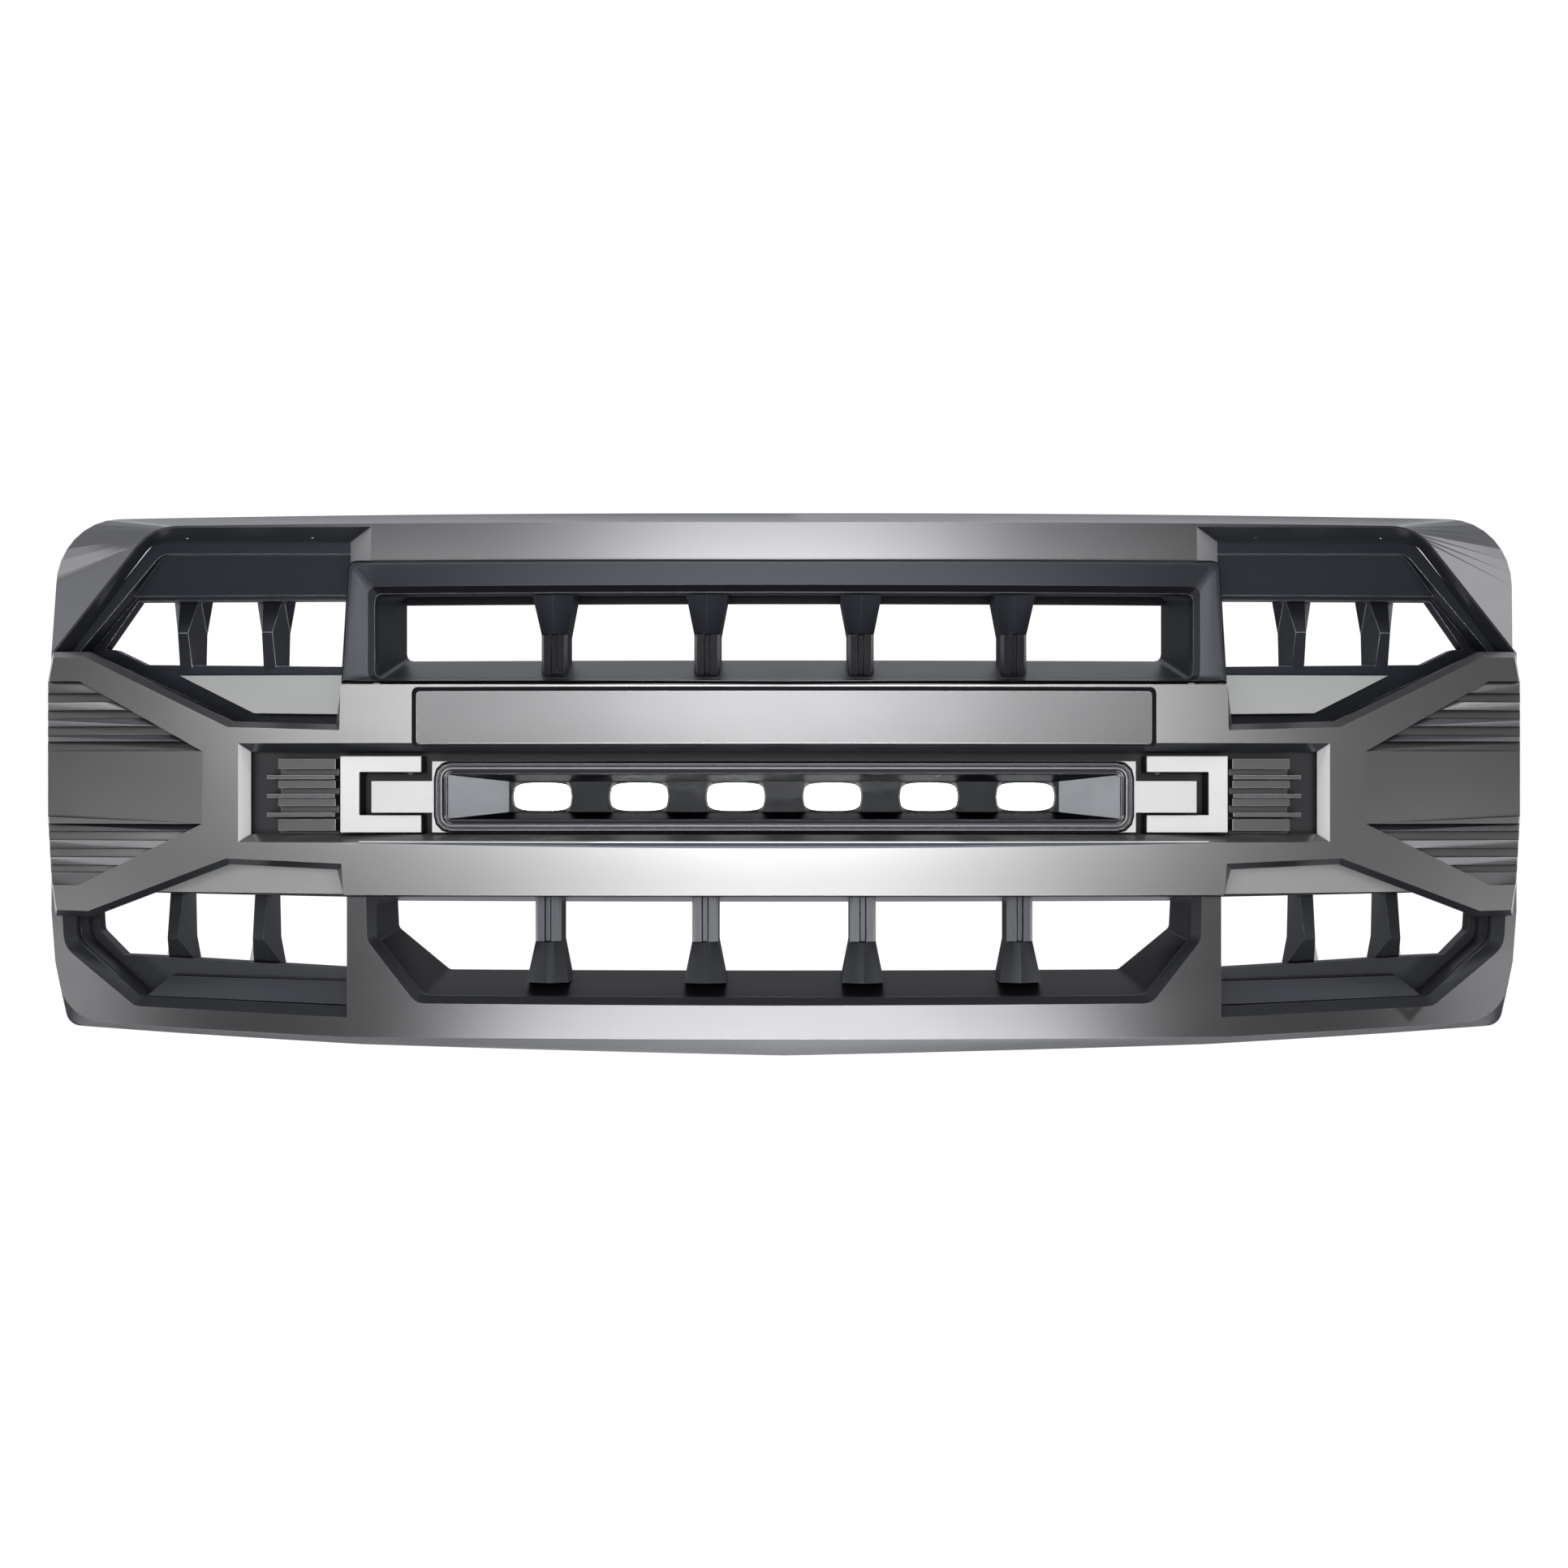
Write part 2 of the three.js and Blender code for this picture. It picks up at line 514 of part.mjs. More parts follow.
const finPlaces = (pitch) => Array.from({ length: FIN_COUNT }, (_, i) => (i - (FIN_COUNT - 1) / 2) * pitch);

// ---------------------------------------------------------------- centre fin inserts
const DUCT_FRONT = WINDOW_LEDGE - GAP;

function duct(step, rear, back = DUCT_BACK) {
  const outer = loft([back, inset(rear, -WALL)], [DUCT_FRONT, inset(step, -WALL)]);
  const bore = loft([back - OVERCUT, rear], [DUCT_FRONT + OVERCUT, step]);
  return { outer, bore };
}

function upperFinInsert() {
  const step = outline(rectangle(296.6, 31.2, 0, 116, 5));
  const rear = outline(rectangle(285, 24.2, 0, 126.2, 5));
  const { outer, bore } = duct(step, rear);
  // A lip hangs from the back of the ceiling.
  const lip = box(-286, 286, 144, 151.5, DUCT_BACK, DUCT_BACK + WALL);
  const fins = finPlaces(UPPER_FIN_PITCH).map((x) =>
    centreFin({ x, stemY: 84, neckY: 118.5, flareY: 149.5, stemFront: 44, flareFront: 58 }),
  );
  return join(cut(outer, bore), ...[lip, ...fins].map((part) => part.intersect(outer)));
}

function lowerFinInsert() {
  const step = outline(bothHalves([[0, -66], [297.6, -66], [296.6, -103.2, 9], [262, -145, 9], [0, -145.2]]));
  const rear = outline(LOWER_OPENING[2]);
  const { outer, bore } = duct(step, rear);
  const fins = finPlaces(LOWER_FIN_PITCH).map((x) =>
    centreFin({ x, stemY: -70, neckY: -106, flareY: -136, stemFront: 44, flareFront: 52 }),
  );
  return join(cut(outer, bore), ...fins.map((part) => part.intersect(outer)));
}

// ---------------------------------------------------------------- corner inserts
const LEDGE_TOP = WINDOW_LEDGE - GAP - 1;

function cornerInsert({ bore, mouth, plates, fins, screws }) {
  const walls = outline(bore);
  const inSurround = prism(inset(outline(SURROUND_FRONT), WALL + 1.5), 0, PLATE_FRONT);
  const besideTray = prism(outline(rectangle(394, 36.5, 0, 2.8)), 0, PLATE_FRONT);
  const flange = cut(prism(inset(walls, -15), LEDGE_TOP - WALL, LEDGE_TOP).intersect(inSurround), besideTray);
  const tub = prism(inset(walls, -WALL), CORNER_BACK - WALL, LEDGE_TOP - 1);
  const hollow = prism(walls, CORNER_BACK, LEDGE_TOP + 1);
  const opening = prism(outline(mouth), CORNER_BACK - 20, CORNER_BACK + 1);
  const collar = cut(prism(inset(outline(mouth), -WALL), CORNER_BACK - 15, CORNER_BACK), opening);
  const solidTub = join(tub, flange);
  const room = prism(inset(walls, -1), 0, LEDGE_TOP - 2);
  const inside = [...plates, ...fins].map((part) => part.intersect(room));
  const screwHoles = screws.map(([x, y]) => rod("z", 2.4, 12, [x, y, LEDGE_TOP], 8));
  return join(cut(solidTub, hollow, opening, ...screwHoles), collar, ...inside);
}

function upperCornerInsert() {
  const ceiling = outline([[316, 149], [487.5, 150], [462, 179.5], [316, 178.5]]);
  const sill = outline([[316, 60.5], [391, 61.5], [453, 90.5], [316, 90]]);
  const plates = [
    slopedPrism(ceiling, CORNER_BACK - 1, [43, 43, 52, 52]), slopedPrism(sill, CORNER_BACK - 1, [56, 56, 39, 39]),
  ];
  const fins = [384, 449].map((x) => cornerFin({ x, stemY: 88, neckY: 122, flareY: 151 }));
  return cornerInsert({
    bore: [[316, 177.6], [461, 179.5, 12], [526, 106.5], [512, 103.5], [400, 53], [316, 50.5]],
    mouth: [[322, 146], [486.5, 147], [513, 111], [505, 110.5], [480.5, 99], [322, 96.5]],
    plates, fins, screws: UPPER_SCREWS,
  });
}

function lowerCornerInsert() {
  const sill = outline([[316, -153], [474, -148], [458, -134], [316, -137]]);
  const ceiling = outline([[316, -71.5], [478, -70.5], [402, -46], [316, -49]]);
  const plates = [
    slopedPrism(sill, CORNER_BACK - 1, [52, 52, 44, 44]), slopedPrism(ceiling, CORNER_BACK - 1, [54, 54, 57, 57]),
  ];
  const fins = [391, 457].map((x) => cornerFin({ x, stemY: -70, neckY: -106, flareY: -133 }));
  return cornerInsert({
    bore: [
      [525.3, -82], [523.5, -107, 12], [474, -148.3, 6], [316, -153.8], [316, -47.5], [402, -44], [512, -82],
    ],
    mouth: [
      [518.5, -85.3], [517.5, -101, 5], [498, -119.6], [472, -120.4], [322, -127.8], [322, -74.7], [479, -72.4],
      [505, -82],
    ],
    plates, fins, screws: LOWER_SCREWS,
  });
}

// ---------------------------------------------------------------- lamp tray and vents
const TRAY_HALF = 390.5;
const BAR_CUTOUT = { halfX: 258, halfY: 25.6 };
const BRACKET_SCREWS = [[274, -18], [274, 18]];

function lampTray() {
  const rim = outline(rectangle(TRAY_HALF, 34.5, 0, 2.8));
  const wall = cut(prism(rim, 0, PLATE_REAR - GAP - 12), prism(inset(rim, 2.4), -1, PLATE_REAR));
  const behind = box(-600, 600, -200, 200, -100, TRAY_REAR);
  const floor = prism(rim, TRAY_REAR, TRAY_FRONT);
  const cutout = outline(rectangle(BAR_CUTOUT.halfX, BAR_CUTOUT.halfY));
  const through = prism(cutout, TRAY_REAR - 1, TRAY_FRONT + 1);
  const screwHoles = BRACKET_SCREWS.flatMap(([x, y]) => bothSides(rod("z", 2.7, 8, [x, y, TRAY_REAR])));
  return cut(join(cut(bowed(wall), behind), floor), through, ...screwHoles);
}

const VENT = { inner: 325.5, outer: 367, railOuter: 374.5, foot: TRAY_FRONT + GAP };

function ventRails() {
  const base = box(VENT.inner, VENT.outer + 1, -27, 27, VENT.foot, VENT.foot + 3);
  const blocks = [[19.2, 26.6], [5.4, 10.9], [-7.6, -2.2], [-25.6, -17.2]].map(([y0, y1]) =>
    box(VENT.inner, VENT.outer, y0 + 1, y1 + 1, VENT.foot + 2, 106),
  );
  const rails = [14.2, 0.6, -13].map((y) => box(VENT.inner, VENT.railOuter, y - 1.4, y + 1.4, VENT.foot, 109));
  return join(base, ...blocks, ...rails);
}

// ---------------------------------------------------------------- marker lamps
const C_SHAPE = [
  [262, 29.5], [262, 17.9], [306.7, 17.9], [306.7, -13.2], [262, -13.2], [262, -25.8], [320.5, -25.8],
  [320.5, 29.5],
];

const markerLens = () => prism(outline(C_SHAPE), LAMP_FRONT - 2.6, LAMP_FRONT);

function markerHousing() {
  const wide = outline(C_SHAPE);
  const body = prism(wide, TRAY_FRONT + GAP, LAMP_FRONT - 3);
  return cut(body, prism(inset(wide, 2), TRAY_FRONT + 3.5, LAMP_FRONT));
}

function markerBoard() {
  const strip = outline([
    [266, 25.5], [266, 21.8], [310.6, 21.8], [310.6, -17.2], [266, -17.2], [266, -21.8], [316.5, -21.8],
    [316.5, 25.5],
  ]);
  const chipPlaces = [[272, 23.6], [290, 23.6], [313.5, 10], [313.5, -8], [290, -19.5], [272, -19.5]];
  const chips = chipPlaces.map(([x, y]) =>
    box(x - 1.5, x + 1.5, y - 1.4, y + 1.4, TRAY_FRONT + 5, TRAY_FRONT + 7),
  );
  return join(prism(strip, TRAY_FRONT + 4, TRAY_FRONT + 5.6), ...chips);
}

// ---------------------------------------------------------------- light bar
const HOUSING = { halfX: 249, halfY: 23.5, rear: 76, front: 112, finRear: 62 };
const LED_PLACES = Array.from({ length: LED_COUNT }, (_, i) => (i - (LED_COUNT - 1) / 2) * LED_PITCH);
const GLAND_X = 180;
const LOCK_DROP = 13; // from the pivot bolt down to the aim lock bolt

function lightBarHousing() {
  const { halfX, halfY, rear, front, finRear } = HOUSING;
  const tub = loft(
    [rear - 5, outline(rectangle(halfX - 4, halfY - 6))], [rear, outline(rectangle(halfX, halfY))],
    [front, outline(rectangle(halfX, halfY))],
  );
  const hollow = prism(outline(rectangle(halfX - WALL - 1, halfY - WALL)), rear + 3, front + 1);
  const fins = [-15, -9, -3, 3, 9, 15].map((y) => box(6 - halfX, halfX - 6, y - 1, y + 1, finRear, rear));
  const glandHole = rod("z", 5, 30, [GLAND_X, 0, rear]);
  const glandPad = rod("z", 11, rear - finRear + 1, [GLAND_X, 0, (rear + finRear + 1) / 2]);
  const ventHole = rod("z", 3, 30, [-GLAND_X, 0, rear]);
  const ventPad = rod("z", 9, rear - finRear + 1, [-GLAND_X, 0, (rear + finRear + 1) / 2]);
  const boltHoles = bothSides(join(
    rod("x", 2.6, 12, [halfX, 0, PIVOT_HEIGHT]), rod("x", 2.2, 12, [halfX, -LOCK_DROP, PIVOT_HEIGHT]),
  ));
  return cut(join(tub, ...fins, glandPad, ventPad), hollow, glandHole, ventHole, ...boltHoles);
}

function lightBarGasket() {
  const { halfX, halfY, front } = HOUSING;
  const ring = outline(rectangle(halfX - 0.3, halfY - 0.3));
  return cut(prism(ring, front + 0.1, front + 1.1), prism(inset(ring, 2.6), front, front + 2));
}

function lightBarLens() {
  const { front } = HOUSING;
  const pane = outline(rectangle(BAR_HALF_LENGTH - 3, BAR_HALF_HEIGHT - 2.6, 0, 0, 8));
  return prism(pane, front + 1.3, front + 3.8);
}

function lightBarBezel() {
  const rim = (shrink, radius) =>
    outline(rectangle(BAR_HALF_LENGTH - shrink, BAR_HALF_HEIGHT - shrink, 0, 0, radius));
  const seatFront = HOUSING.front + 4.2;
  const body = loft([HOUSING.front + 1.3, rim(0, 12)], [BAR_FRONT - 2, rim(0, 12)], [BAR_FRONT, rim(1.4, 11)]);
  const opening = loft(
    [HOUSING.front + 1, rim(9.4, 3)], [seatFront, rim(9.4, 3)], [BAR_FRONT - 1.2, rim(7, 5)],
    [BAR_FRONT + 0.1, rim(5.2, 7)],
  );
  const groove = cut(
    prism(rim(2.6, 9.8), BAR_FRONT - 1.1, BAR_FRONT + 1), prism(rim(3.8, 8.6), BAR_FRONT - 2, BAR_FRONT + 2),
  );
  const seatEdge = rectangle(BAR_HALF_LENGTH - 2.6, BAR_HALF_HEIGHT - 2.2, 0, 0, 8);
  return cut(body, opening, groove, prism(outline(seatEdge), HOUSING.front, seatFront));
}

function lightBarReflector() {
  const { halfX, halfY, front } = HOUSING;
  const body = prism(outline(rectangle(halfX - WALL - 1.6, halfY - WALL - 0.6)), 92, front);
  const trough = loft(
    [103, outline(rectangle(200, CUP_HALF_HEIGHT + 0.6))], [front + 0.1, outline(rectangle(243.5, 16))],
  );
  const profile = [[0, 88], [6, 88], [13, 92], [19, 98], [CUP_RADIUS, 104], [0, 104]];
  const profilePoints = profile.map(([r, z]) => new THREE.Vector2(r, z));
  const bowl = toSolid(new THREE.LatheGeometry(profilePoints, 20).rotateX(Math.PI / 2));
  const slab = box(-CUP_RADIUS, CUP_RADIUS, -CUP_HALF_HEIGHT, CUP_HALF_HEIGHT, 80, 120);
  const cup = bowl.intersect(slab);
  const cups = LED_PLACES.map((x) => toSolid(toGeometry(cup).translate(x, 0, 0)));
  return cut(body, trough, ...cups);
}

function lightBarBoard() {
  const { halfX, halfY, rear } = HOUSING;
  const plate = prism(outline(rectangle(halfX - WALL - 2, halfY - WALL - 1)), rear + 3.4, rear + 5.4);
  const chips = LED_PLACES.map((x) => box(x - 3.5, x + 3.5, -3.5, 3.5, rear + 5, rear + 15));
  const drillings = [GLAND_X, -GLAND_X].map((x) => rod("z", 6, 10, [x, 0, rear + 4]));
  return cut(join(plate, ...chips), ...drillings);
}

// The silver cap closes the end of the bar and carries the tongue that reaches into the marker lamp.
function lightBarEndCap() {
  const edge = BAR_HALF_LENGTH + 1.8;
  const plate = outline([
    [edge, -BAR_HALF_HEIGHT], [edge, -11.4], [297.6, -11.4], [297.6, 11.4], [edge, 11.4],
    [edge, BAR_HALF_HEIGHT], [236, BAR_HALF_HEIGHT], [236, -BAR_HALF_HEIGHT],
  ]);
  const bezelEdge = rectangle(BAR_HALF_LENGTH + GAP, BAR_HALF_HEIGHT + GAP, 0, 0, 12);
  const bezelRoom = prism(outline(bezelEdge), HOUSING.front + 0.8, BAR_FRONT);
  const housingEdge = rectangle(HOUSING.halfX + GAP, HOUSING.halfY + GAP);
  const housingRoom = prism(outline(housingEdge), 0, HOUSING.front + 1.3);
  return cut(prism(plate, HOUSING.front - 8, BAR_FRONT - 2), bezelRoom, housingRoom);
}

// ---------------------------------------------------------------- light bar brackets and bolts
const EAR = { inner: 250.2, outer: 252.7 };
const SLOT_STEP = 9; // degrees between the drillings that make the aim slot

function lightBarBracket() {
  const ear = box(EAR.inner, EAR.outer, -21, 12, TRAY_REAR - 3.6, 102);
  const foot = box(EAR.inner, 292, -27, 27, TRAY_REAR - 3.6, TRAY_REAR - 1);
  const slot = [-1, 0, 1].map((step) => {
    const turn = THREE.MathUtils.degToRad(step * SLOT_STEP);
    return rod("x", 3, 10, [EAR.inner, -LOCK_DROP * Math.cos(turn), PIVOT_HEIGHT + LOCK_DROP * Math.sin(turn)]);
  });
  const pivotHole = rod("x", 3.2, 10, [EAR.inner, 0, PIVOT_HEIGHT]);
  const screwHoles = BRACKET_SCREWS.map(([x, y]) => rod("z", 2.8, 12, [x, y, TRAY_REAR]));
  return cut(join(ear, foot), ...slot, pivotHole, ...screwHoles);
}

// A bolt along x, from its threads inside the housing out to its head beyond the bracket ear.
const BOLT_REACH = 8.4;
const earBolt = (radius, headRadius, y) => join(
  rod("x", radius, BOLT_REACH, [EAR.outer + 0.8 - BOLT_REACH / 2, y, PIVOT_HEIGHT], 12),
  rod("x", headRadius, 2.4, [EAR.outer + 0.4 + 1.2, y, PIVOT_HEIGHT], 6),
);
const pivotBolt = () => earBolt(2.3, 4.6, 0);
const lockBolt = () => earBolt(1.9, 4, -LOCK_DROP);

// A pan-head screw along z with its head to the rear.
function rearScrew(x, y, seat, radius, length) {
  const head = rod("z", radius * 1.9, 2.4, [x, y, seat - 1.2 - GAP], 16);
  const socket = rod("z", radius * 0.8, 1.4, [x, y, seat - 2.4 - GAP + 0.6], 6);
  return cut(join(head, rod("z", radius, length, [x, y, seat + length / 2 - 1 - GAP], 12)), socket);
}

// ---------------------------------------------------------------- wiring
const LOOM_RADIUS = 3.2;

// The gland's nut sits on the rear of the housing, its stem passes the wall and the loom runs through it.
function cableGland() {
  const nutFront = HOUSING.finRear - 0.3;
  const bore = LOOM_RADIUS + 0.7;
  const profile = [
    [bore, nutFront - 13], [6.4, nutFront - 13], [8, nutFront - 7], [9.5, nutFront - 6], [9.5, nutFront],
    [4.6, nutFront], [4.6, HOUSING.rear + 2.6], [bore, HOUSING.rear + 2.6], [bore, nutFront - 13],
  ].map(([r, z]) => new THREE.Vector2(r, z));
  return toSolid(new THREE.LatheGeometry(profile, 12).rotateX(Math.PI / 2).translate(GLAND_X, 0, 0));
}

function ventPlug() {
  const cap = rod("z", 7, 3, [-GLAND_X, 0, HOUSING.finRear - 0.3 - 1.5], 16);
  const stem = rod("z", 2.6, 16, [-GLAND_X, 0, HOUSING.finRear + 7], 12);
  return join(cap, stem);
}

const CONNECTOR = { x: 60, y: -48, z: 60 };

// The loom leaves the gland, drops behind the tray and runs to the connector under the light bar.
function wiringLoom() {
  const end = CONNECTOR.x + 16;
  const path = new THREE.CatmullRomCurve3([
    [GLAND_X, 0, 53], [GLAND_X, 0, 44], [GLAND_X - 4, -9, 34], [GLAND_X - 24, -38, 33],
    [GLAND_X - 54, CONNECTOR.y, 48], [end + 16, CONNECTOR.y, CONNECTOR.z], [end, CONNECTOR.y, CONNECTOR.z],
  ].map((point) => new THREE.Vector3(...point)));
  const section = new THREE.Shape().absarc(0, 0, LOOM_RADIUS, 0, Math.PI * 2);
  return toSolid(new THREE.ExtrudeGeometry(section, { steps: 16, curveSegments: 4, extrudePath: path }));
}

function connector() {
  const { x, y, z } = CONNECTOR;
  const shell = box(x - 22, x + 15.6, y - 8, y + 8, z - 8, z + 8);
  const socket = box(x - 30, x - 8, y - 5.6, y + 5.6, z - 5.6, z + 5.6);
  const latch = box(x - 14, x + 4, y - 3, y + 3, z - 10.5, z - 7);
  const seal = join(...[-3, 3].map((offset) => rod("x", 1.4, 10, [x - 6, y + offset, z], 8)));
  return join(cut(shell, socket), latch, seal);
}

// ---------------------------------------------------------------- mounting hardware
// A speed nut: a folded strip that grips a top tab from its rear edge.
function speedNut(x) {
  const z = TAB.rear;
  const strip = outline([
    [z - 3, TAB.y0 - 1.4], [z + 24, TAB.y0 - 1.4], [z + 24, TAB.y0 - GAP], [z - 1, TAB.y0 - GAP],
    [z - 1, TAB.y1 + GAP], [z + 18, TAB.y1 + GAP], [z + 18, TAB.y1 + 1.4], [z - 3, TAB.y1 + 1.4],
  ]);
  const geometry = new THREE.ExtrudeGeometry(new THREE.Shape(strip), { depth: 16, bevelEnabled: false });
  geometry.rotateY(-Math.PI / 2).translate(x + 8, 0, 0);
  return cut(toSolid(geometry), rod("y", 3.4, 40, [x, TAB.y0, z + 14], 16));
}

// A spring clip: a U-shaped strip over the end of a lower boss. Its bulged legs snap into the bumper bracket.
function springClip(x, y0) {
  const strip = outline([
    [-17.2, 26], [-17.2, -9], [-6, -17], [-3, -17], [-3, -15.6], [-5.6, -15.6], [-15.6, -8.3], [-15.6, -1.6],
    [15.6, -1.6], [15.6, -8.3], [5.6, -15.6], [3, -15.6], [3, -17], [6, -17], [17.2, -9], [17.2, 26],
    [14.4, 26], [14.4, -0.4], [-14.4, -0.4], [-14.4, 26],
  ]);
  const geometry = new THREE.ExtrudeGeometry(new THREE.Shape(strip), { depth: 10, bevelEnabled: false });
  return toSolid(geometry.rotateX(Math.PI / 2).translate(x, (y0 + BOSS.y1) / 2 + 5, BOSS.rear));
}

// ---------------------------------------------------------------- scene
const grille = new THREE.Group();
grille.rotation.x = Math.PI / 2;
grille.position.z = -ORIGIN_HEIGHT;

function place(name, solid, material, parent = grille) {
  const geometry = toGeometry(solid).toNonIndexed();
  geometry.computeVertexNormals();
  const mesh = new THREE.Mesh(geometry, material);
  mesh.name = name;
  parent.add(mesh);
}

// The right-hand piece and its mirror image.
function placePair(name, solid, material, parent) {
  place(name + "_right", solid, material, parent);
  place(name + "_left", mirrored(solid), material, parent);
}

place("outer_surround", join(bowed(outerSurround()), ...mountingPoints()), graphite);
place("upper_frame", bowed(upperFrame()), graphite);
place("cross_belt", bowed(crossBelt()), graphite);
place("name_plate", bowed(namePlate()), graphite);
place("upper_fin_insert", bowed(upperFinInsert()), darkPlastic);
place("lower_fin_insert", bowed(lowerFinInsert()), darkPlastic);
placePair("corner_insert_upper", bowed(upperCornerInsert()), darkPlastic);
placePair("corner_insert_lower", bowed(lowerCornerInsert()), darkPlastic);
place("lamp_tray", lampTray(), darkPlastic);
placePair("vent_rails", ventRails(), graphite);
placePair("marker_lens", markerLens(), diffuser);
placePair("marker_housing", markerHousing(), blackMetal);
placePair("marker_led_board", markerBoard(), board);

// The light bar turns about the x axis through its pivot bolts.
const lightBar = new THREE.Group();
grille.add(lightBar);
place("light_bar_housing", lightBarHousing(), blackMetal, lightBar);
place("light_bar_gasket", lightBarGasket(), rubber, lightBar);
place("light_bar_lens", lightBarLens(), clearLens, lightBar);
place("light_bar_bezel", lightBarBezel(), blackMetal, lightBar);
place("light_bar_reflector", lightBarReflector(), mirrorCup, lightBar);
place("light_bar_led_board", lightBarBoard(), board, lightBar);
placePair("light_bar_end_cap", lightBarEndCap(), silver, lightBar);
placePair("pivot_bolt", pivotBolt(), zinc, lightBar);
placePair("aim_lock_bolt", lockBolt(), zinc, lightBar);
place("cable_gland", cableGland(), blackMetal, lightBar);
place("vent_plug", ventPlug(), rubber, lightBar);

placePair("light_bar_bracket", lightBarBracket(), blackMetal);
place("wiring_loom", wiringLoom(), rubber, lightBar);
place("harness_connector", connector(), darkPlastic, lightBar);
BRACKET_SCREWS.forEach(([x, y], i) => {
  placePair("bracket_screw_" + (i + 1), rearScrew(x, y, TRAY_REAR - 3.6, 2.3, 7), zinc);
});
const FLANGE_REAR = LEDGE_TOP - WALL - 1;
for (const [row, places] of [["upper", UPPER_SCREWS], ["lower", LOWER_SCREWS]]) {
  places.forEach(([x, y], i) => {
    const screw = rearScrew(x, y, FLANGE_REAR + SWEEP - sweepAt(x), 1.5, 9);
    placePair(`insert_screw_${row}_${i + 1}`, screw, zinc);
  });
}
TAB_X.forEach((x, i) => placePair("speed_nut_" + (i + 1), speedNut(x), zinc));
BOSSES.forEach(({ x, y0 }, i) => placePair("spring_clip_" + (i + 1), springClip(x, y0), zinc));

export default grille;
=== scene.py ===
"""Looks of the front grille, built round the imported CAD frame: metres, +Z up, the front faces -Y."""

import json
import math

import bmesh
import bpy
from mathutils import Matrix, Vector


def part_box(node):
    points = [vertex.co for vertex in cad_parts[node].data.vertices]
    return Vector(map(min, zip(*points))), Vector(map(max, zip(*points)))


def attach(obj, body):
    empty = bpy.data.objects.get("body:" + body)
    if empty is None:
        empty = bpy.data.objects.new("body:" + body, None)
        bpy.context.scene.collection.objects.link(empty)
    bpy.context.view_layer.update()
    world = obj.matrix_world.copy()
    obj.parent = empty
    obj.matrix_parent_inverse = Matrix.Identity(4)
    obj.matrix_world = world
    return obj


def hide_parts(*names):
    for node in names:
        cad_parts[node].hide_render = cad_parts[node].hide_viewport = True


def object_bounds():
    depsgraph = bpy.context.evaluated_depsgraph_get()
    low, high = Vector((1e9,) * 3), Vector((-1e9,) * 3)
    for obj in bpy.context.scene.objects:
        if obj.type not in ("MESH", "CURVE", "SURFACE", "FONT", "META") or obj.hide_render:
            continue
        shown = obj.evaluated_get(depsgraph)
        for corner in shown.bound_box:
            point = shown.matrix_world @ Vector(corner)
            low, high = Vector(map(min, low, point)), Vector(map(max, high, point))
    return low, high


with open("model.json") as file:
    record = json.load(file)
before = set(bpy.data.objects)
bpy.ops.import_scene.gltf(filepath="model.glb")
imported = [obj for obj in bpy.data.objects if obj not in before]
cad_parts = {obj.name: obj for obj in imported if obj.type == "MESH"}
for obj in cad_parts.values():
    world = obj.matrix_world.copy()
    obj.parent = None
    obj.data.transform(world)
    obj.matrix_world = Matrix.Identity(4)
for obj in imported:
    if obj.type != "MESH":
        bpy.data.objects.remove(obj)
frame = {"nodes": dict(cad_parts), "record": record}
cad_low, cad_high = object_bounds()
NODES = frame["nodes"]
BODY_OF = {node: body for body, nodes in frame["record"]["behaviour"]["bodies"].items() for node in nodes}
MM = 0.001

MIDDLE = (cad_low + cad_high) / 2
HALF_WIDTH = cad_high.x
SWEEP = 50 * MM  # how far the mouldings' ends sit behind their middle
BOW_BANDS = 5  # flat bands of the CAD bow on each side
CUTS_PER_BAND = 8
FACE_DEPTH = 3 * MM  # what counts as the front face of a moulding
MERGE_DISTANCE = 0.002 * MM
EDGE_ANGLE = 22  # degrees; sharper edges than this are filleted
FILLET_SEGMENTS = 2
SIDES = ("right", "left")

LED_COUNT = 6
LED_PITCH = 70.3 * MM
CUP_RADIUS = 22.3 * MM
CUP_HALF_HEIGHT = 10.2 * MM
OPTIC_STEPS = 40
FACET_ANGLE = 8  # degrees; the reflector's shallow facets keep their edges
OPTIC_SQUARENESS = 0.6
SILL_TOP = -105 * MM
LOUVRE_INNER = 400 * MM
LOUVRE_REACH = 85 * MM
LIP_TOP = -230 * MM
LIP_HEIGHT = 3.6 * MM  # at the middle of the bar; it thins out towards the ends
LIP_FALL = 1.3 * MM
LIP_THINNEST = 0.15  # share of the height that is left at its ends
LIP_STRIP = 1.3 * MM  # height of the painted highlight strip on the chamfer above the lip
LIP_REACH = 310 * MM
HIGHLIGHT_STRIP_SLOT = 2  # places in the list of the cross belt's areas, counted from one; the strip is a painted highlight, the lip a painted shade
LIP_SHADE_SLOT = 3
POCKET_REACH = 270 * MM
POCKET_LOW = -165 * MM
POCKET_HIGH = -115 * MM
POCKET_DEPTHS = (2 * MM, 8 * MM)  # the pocket floor sits between these behind the bar's front

LENS = 48.52
SENSOR_WIDTH = 36
CAMERA_PLACE = (0, -1.640, -0.1877)
FLOOR_DROP = 0.9  # the floor's distance below the part
WHITE = 1.05


# ---------------------------------------------------------------- shader building blocks

